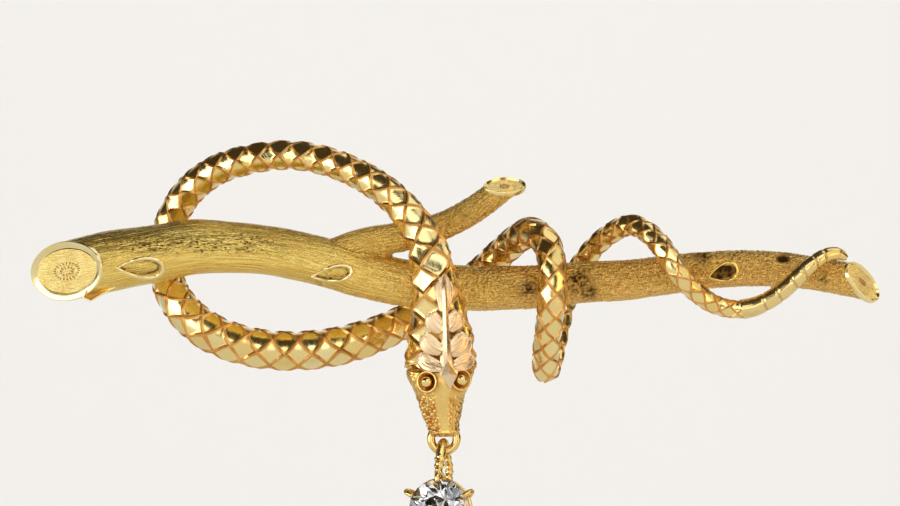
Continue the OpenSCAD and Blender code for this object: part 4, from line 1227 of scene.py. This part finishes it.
# %% A worked gold
def worked_gold(name, light, deep, cut_shade, rough, stretch=(1200, 1200, 1200), bump=0.1,
                drift=(350, 0.5), depth=None, share=1.0, place=None, turn=None, tone=None,
                tone_light=None, streak=0.25):
    """A gold with drift of colour, tool lines and painted shade in the cuts; depth, place, turn and
    tone are attributes.

    Where tone is 1 the light colour has become tone_light."""
    material = material_called(name)
    material.use_nodes = True
    tree = material.node_tree
    shader = next(node for node in tree.nodes if node.type == "BSDF_PRINCIPLED")
    shader.inputs["Metallic"].default_value = 1

    def attribute(title, output="Fac"):
        return add(tree, "ShaderNodeAttribute", attribute_name=title).outputs[output]

    spot = add(tree, "ShaderNodeTexCoord").outputs["Object"]
    drawn = attribute(place, "Vector") if place else spot
    if tone:
        toned = blend(tree, attribute(tone), (*light, 1), (*tone_light, 1))
    else:
        toned = (*light, 1)
    tool = add(tree, "ShaderNodeGroup", {}, node_tree=tool_lines)
    if turn:
        angle = add(tree, "ShaderNodeMath", {0: attribute(turn), 1: 9.0},
                    operation="MULTIPLY").outputs[0]
    else:
        angle = 0.0
    for socket, value in (("Place", drawn), ("Stretch", stretch), ("Turn", angle)):
        wire_or_set(tree, tool.inputs[socket], value)
    streaks = add(tree, "ShaderNodeMath", {0: tool.outputs["Mask"], 1: streak}, operation="MULTIPLY")
    worn = add(tree, "ShaderNodeGroup", {}, node_tree=colour_drift)
    for socket, value in (("Place", spot), ("Size", drift[0]), ("Share", drift[1]),
                          ("Light", blend(tree, streaks.outputs[0], toned, (*deep, 1))),
                          ("Deep", (*deep, 1))):
        wire_or_set(tree, worn.inputs[socket], value)
    cuts = add(tree, "ShaderNodeGroup", {}, node_tree=cut_shade_group)
    for socket, value in (("Colour", worn.outputs["Colour"]), ("Shade", (*cut_shade, 1)),
                          ("Depth", attribute(depth) if depth else 0.0), ("Share", share),
                          ("Place", spot), ("Rough outside cuts", rough[0]), ("Rough in cuts", rough[1])):
        wire_or_set(tree, cuts.inputs[socket], value)
    blur = add(tree, "ShaderNodeMath", {0: tool.outputs["Mask"], 1: 0.12}, operation="MULTIPLY")
    dull = add(tree, "ShaderNodeMath", {0: cuts.outputs["Roughness"], 1: blur.outputs[0]})
    relief = add(tree, "ShaderNodeBump", {"Height": tool.outputs["Height"], "Strength": bump,
                                          "Distance": 0.00003})
    tree.links.new(cuts.outputs["Colour"], shader.inputs["Base Color"])
    tree.links.new(dull.outputs[0], shader.inputs["Roughness"])
    tree.links.new(relief.outputs[0], shader.inputs["Normal"])
    return tree


# %% The golds
worked_gold("scale_face", (0.90, 0.64, 0.20), (0.93, 0.74, 0.30), (0.4, 0.2, 0.05), (0.10, 0.3),
            stretch=(700, 700, 14000), bump=0.12, drift=(500, 0.6), turn="tone", tone="tone",
            tone_light=(0.96, 0.84, 0.44))
worked_gold("scale_edge", (0.98, 0.74, 0.32), (0.88, 0.55, 0.16), (0.4, 0.2, 0.05), (0.22, 0.3),
            drift=(700, 0.6))
# The grooves' deeper orange-brown is painted shade, and painted glow of gold reflected between the
# lozenges.
worked_gold("scale_groove", (0.88, 0.50, 0.15), (0.56, 0.25, 0.05), (0.2, 0.08, 0.02), (0.28, 0.5),
            stretch=(5000, 5000, 5000), bump=0.3, drift=(450, 0.8))
worked_gold("plain_gold", (0.95, 0.78, 0.36), (0.88, 0.62, 0.20), (0.4, 0.2, 0.05), (0.16, 0.4),
            stretch=(900, 3000, 9000), bump=0.12, drift=(300, 0.6), depth="cut", share=0.7)
worked_gold("head_gold", (0.96, 0.72, 0.26), (0.84, 0.50, 0.12), (0.50, 0.19, 0.03), (0.18, 0.42),
            bump=0.15, depth="cut", share=1.3, stretch=(3500, 3500, 3500))
bark_tree = worked_gold(
    "branch_bark", (1.0, 0.80, 0.24), (0.80, 0.50, 0.10), (0.09, 0.04, 0.01), (0.16, 0.6),
    stretch=(0.5, 17, 17), bump=1.0, depth="cut", share=1.5, place="along_bark",
    drift=(160, 0.35), tone="right", tone_light=(1.0, 0.62, 0.20), streak=0.8)
worked_gold("branch_rim", (1.0, 0.88, 0.50), (0.90, 0.68, 0.26), (0.3, 0.14, 0.03), (0.14, 0.4),
            stretch=(3000, 3000, 9000), bump=0.1)
worked_gold("branch_sawn", (0.98, 0.80, 0.32), (0.74, 0.50, 0.12), (0.22, 0.12, 0.02), (0.20, 0.5),
            stretch=(1500, 1500, 16000), bump=0.5, drift=(900, 0.7))
worked_gold("branch_pith", (0.58, 0.29, 0.07), (0.36, 0.15, 0.03), (0.2, 0.08, 0.02), (0.3, 0.5))
worked_gold("rose_gold", (1.0, 0.80, 0.52), (0.93, 0.66, 0.36), (0.55, 0.26, 0.09), (0.24, 0.45),
            bump=0.1, depth="cut", share=1.0, stretch=(3000, 3000, 3000))
worked_gold("kite_gold", (0.97, 0.82, 0.48), (0.90, 0.66, 0.32), (0.3, 0.12, 0.02), (0.07, 0.3),
            stretch=(2500, 2500, 2500), bump=0.03, drift=(400, 0.4), streak=0.1)
worked_gold("bead_gold", (0.97, 0.80, 0.36), (0.90, 0.62, 0.20), (0.3, 0.12, 0.02), (0.06, 0.3),
            stretch=(2500, 2500, 2500), bump=0.05, drift=(500, 0.6))
worked_gold("bright_gold", (0.94, 0.72, 0.30), (0.84, 0.54, 0.16), (0.3, 0.12, 0.02), (0.17, 0.4),
            stretch=(2500, 2500, 2500), bump=0.12, drift=(500, 0.6))
print("golds:", sorted(material.name for material in bpy.data.materials if material.use_nodes))

# %% [markdown]
# ## Marks on the bark
# The left part of the branch carries short dark dashes along the grain, the right part a close
# pattern of punch marks. The dark dashes are painted shade: of small chased pits on the left, and
# of the shade along the top edge of the stem. Both go only onto the bark, so its own tree is taken
# up again: the dashes join the painted shade in the cuts, and the punch marks join the height of
# the bump.

# %% Dashes and punch marks on the bark
def named(tree, kind, name):
    """The node of a kind whose group or attribute has this name."""
    for node in tree.nodes:
        if node.type == kind and name in (getattr(node, "attribute_name", ""),
                                          getattr(getattr(node, "node_tree", None), "name", "")):
            return node


place = named(bark_tree, "ATTRIBUTE", "along_bark").outputs["Vector"]
spot = next(node for node in bark_tree.nodes if node.type == "TEX_COORD").outputs["Object"]
dashes = add(bark_tree, "ShaderNodeGroup", node_tree=tool_lines)
for socket, value in (("Place", place), ("Stretch", (4, 24, 24))):
    wire_or_set(bark_tree, dashes.inputs[socket], value)
# Painted shade: dark dashes along the grain, where the attribute read below allows them.
dark = add(bark_tree, "ShaderNodeMapRange", {"Value": dashes.outputs["Height"], "From Min": 0.53,
                                             "From Max": 0.59})
where = add(bark_tree, "ShaderNodeAttribute", attribute_name="dash_shade")
dark = add(bark_tree, "ShaderNodeMath", {0: dark.outputs[0], 1: where.outputs["Fac"]},
           operation="MULTIPLY")
cut_in = named(bark_tree, "ATTRIBUTE", "cut").outputs["Fac"]
deepest = add(bark_tree, "ShaderNodeMath", {0: dark.outputs[0], 1: cut_in}, operation="MAXIMUM")
bark_tree.links.new(deepest.outputs[0], named(bark_tree, "GROUP", "painted_shade_in_cuts").inputs["Depth"])

punched = add(bark_tree, "ShaderNodeTexNoise", {"Vector": spot, "Scale": 4200.0, "Detail": 2.0})
share = add(bark_tree, "ShaderNodeAttribute", attribute_name="right")
strong = add(bark_tree, "ShaderNodeMath", {0: share.outputs["Fac"], 1: 2.5}, operation="MULTIPLY")
marks = add(bark_tree, "ShaderNodeMath", {0: punched.outputs["Fac"], 1: strong.outputs[0]},
            operation="MULTIPLY")
relief = next(node for node in bark_tree.nodes if node.type == "BUMP")
both = add(bark_tree, "ShaderNodeMath", {0: relief.inputs["Height"].links[0].from_socket,
                                         1: marks.outputs[0]})
bark_tree.links.new(both.outputs[0], relief.inputs["Height"])
relief.inputs["Distance"].default_value = 0.00013
print("bark nodes:", len(bark_tree.nodes))

# %% [markdown]
# ## The diamond's material
# A diamond is clear and bends light hard, so the shader has full transmission and an index of
# refraction of 2.42. The grey of each facet tints the clear stone a little, which stands for the
# dark patches that a real stone shows where it mirrors the viewer.

# %% The diamond
glass = material_called("cut_diamond")
glass.use_nodes = True
shader = next(node for node in glass.node_tree.nodes if node.type == "BSDF_PRINCIPLED")
shader.inputs["IOR"].default_value = 2.42
shader.inputs["Transmission Weight"].default_value = 1
spot = add(glass.node_tree, "ShaderNodeTexCoord").outputs["Object"]
tint = add(glass.node_tree, "ShaderNodeGroup", node_tree=colour_drift)
facet = add(glass.node_tree, "ShaderNodeAttribute", attribute_name="tone")
spread = add(glass.node_tree, "ShaderNodeMath", {0: facet.outputs["Fac"], 1: 1.6}, operation="POWER")
toned = blend(glass.node_tree, spread.outputs[0], (1, 1, 1, 1), (0.30, 0.34, 0.40, 1))
for socket, value in (("Place", spot), ("Size", 700.0), ("Share", 0.15), ("Light", toned),
                      ("Deep", (0.93, 0.95, 1.0, 1))):
    wire_or_set(glass.node_tree, tint.inputs[socket], value)
worn = add(glass.node_tree, "ShaderNodeMath", {0: tint.outputs["Mask"], 1: 0.012}, operation="MULTIPLY")
glass.node_tree.links.new(tint.outputs["Colour"], shader.inputs["Base Color"])
glass.node_tree.links.new(worn.outputs[0], shader.inputs["Roughness"])
print("diamond nodes:", len(glass.node_tree.nodes))

# %% [markdown]
# ## Dressing and handing over
# Each piece gets its finishes, slot by slot, and then says which body it moves with and which
# solid it stands in for. The ring and the pin are kept from the model as they are, and only their
# gold is made better.


# %% Dress the pieces
def dress(obj, *names):
    """Give a piece its materials, slot by slot, in place of what it had."""
    obj.data.materials.clear()
    for name in names:
        obj.data.materials.append(bpy.data.materials[name])


dress(head, "head_gold")
dress(tail, "plain_gold")
dress(leaf, "rose_gold", "kite_gold")
dress(setting, "bright_gold")
dress(stone, "cut_diamond")
for bead in beads.values():
    dress(bead, "bead_gold")
dress(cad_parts["mouth_ring"], "bright_gold")
dress(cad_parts["brooch_pin"], "plain_gold")
print("dressed", 5 + len(beads), "pieces and 2 solids")

# %% Hand the pieces over
hand_over(body, "brooch", "scale_gold", "snake")
hand_over(head, "brooch", "scale_gold", "snake")
hand_over(tail, "brooch", "scale_gold", "snake")
hand_over(branch, "brooch", "bark_gold", "branch")
hand_over(leaf, "brooch", "rose_gold", "crest_leaf")
hand_over(setting, "drop", "bright_gold", "drop_setting")
hand_over(stone, "drop", "diamond", "drop_diamond")
for node, bead in beads.items():
    hand_over(bead, "brooch", "bright_gold", node)

# %% [markdown]
# ## The camera and the light
# The photograph looks straight at the brooch through a long lens, so the camera stands far off.
# Polished metal shows only what stands round it: soft lights to the left, to the right, in front
# and above, and dark between them. A warm one at the right gives the amber of the photograph. Two
# more light only the pale sweep, and the gold doesn't mirror them.

# %% Camera
PHOTO_WIDTH = 0.063          # what the photograph's width covers at the brooch, in metres
LOOK_AT = Vector((0, -0.0062, 0.00129))
LENS = 400

camera_data = bpy.data.cameras.new("camera")
camera_data.lens = LENS
camera_data.clip_start = 0.05
camera_data.clip_end = 20
camera = bpy.data.objects.new("camera", camera_data)
bpy.context.scene.collection.objects.link(camera)
camera.location = LOOK_AT + Vector((0, -PHOTO_WIDTH * LENS / camera_data.sensor_width, 0))
camera.rotation_euler = (math.radians(90), 0, 0)
bpy.context.scene.camera = camera
print("the camera stands", round(-camera.location.y, 2), "m in front")

# %% Floor and sweep
FLOOR_Z = -0.09
bpy.ops.object.select_all(action="DESELECT")
bpy.ops.mesh.primitive_plane_add(size=3, location=(0, 0.2, FLOOR_Z))
floor = bpy.context.object
floor.name = "floor"
open_edit(floor)
pick("EDGE", lambda edge: all(vert.co.y > 1.4 for vert in edge.verts))
bpy.ops.mesh.extrude_region_move(TRANSFORM_OT_translate={"value": (0, 0, 1.6)})
pick("EDGE", lambda edge: all(vert.co.y > 1.4 and vert.co.z < 0.1 for vert in edge.verts))
bpy.ops.mesh.bevel(offset=0.5, segments=24)
close_edit()
bpy.ops.object.shade_smooth()
paper = bpy.data.materials.new("pale_paper")
paper.use_nodes = True
paper.node_tree.nodes["Principled BSDF"].inputs["Base Color"].default_value = (0.75, 0.74, 0.72, 1)
paper.node_tree.nodes["Principled BSDF"].inputs["Roughness"].default_value = 0.9
floor.data.materials.append(paper)
floor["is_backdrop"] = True
print("the sweep has", len(floor.data.polygons), "faces")


# %% Lights
def soft_light(name, place, size, glow, colour=(1, 1, 1), aim=LOOK_AT, mirrored=True):
    """An area light aimed at the brooch; glow is how bright it looks in a mirror."""
    data = bpy.data.lights.new(name, "AREA")
    data.shape = "RECTANGLE"
    data.size, data.size_y = size
    data.energy = glow * math.pi * size[0] * size[1]
    data.color = colour
    light = bpy.data.objects.new(name, data)
    light.location = place
    light.rotation_euler = (Vector(aim) - Vector(place)).to_track_quat("-Z", "Y").to_euler()
    light.visible_glossy = mirrored
    bpy.context.scene.collection.objects.link(light)


soft_light("key", (-0.52, -0.48, -0.02), (0.34, 0.40), 3.6)
soft_light("fill", (0.10, -0.95, 0.02), (0.9, 0.6), 1.4)
soft_light("left", (-0.60, -0.10, -0.14), (0.40, 0.46), 2.8)
soft_light("right", (0.52, 0.24, 0.24), (0.25, 0.25), 1.1, (1, 0.9, 0.75))
soft_light("high right", (0.46, -0.28, 0.38), (0.5, 0.5), 0.85, (1, 0.98, 0.9))
soft_light("high front", (0.12, -0.62, 0.45), (0.7, 0.26), 1.6)
soft_light("top", (0.26, 0.10, 0.54), (0.36, 0.50), 1.0)
soft_light("warm", (0.5, -0.3, -0.02), (0.25, 0.3), 2.2, (1, 0.66, 0.34))
soft_light("sweep", (0, 0.6, 0.7), (1.2, 0.4), 9, aim=(0, 1.7, 0.1), mirrored=False)
soft_light("table", (-0.1, -0.1, 1.0), (0.4, 0.4), 12, aim=(0, 0, -0.1), mirrored=False)
world = bpy.data.worlds.new("room")
world.use_nodes = True
world.node_tree.nodes["Background"].inputs["Color"].default_value = (0.05, 0.036, 0.022, 1)
bpy.context.scene.world = world
bpy.context.scene.view_settings.view_transform = "Standard"

# %% Sizes, and the end
size = {"cad": [list(cad_low), list(cad_high)], "visual": [list(corner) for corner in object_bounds()]}
print("sizes", size)
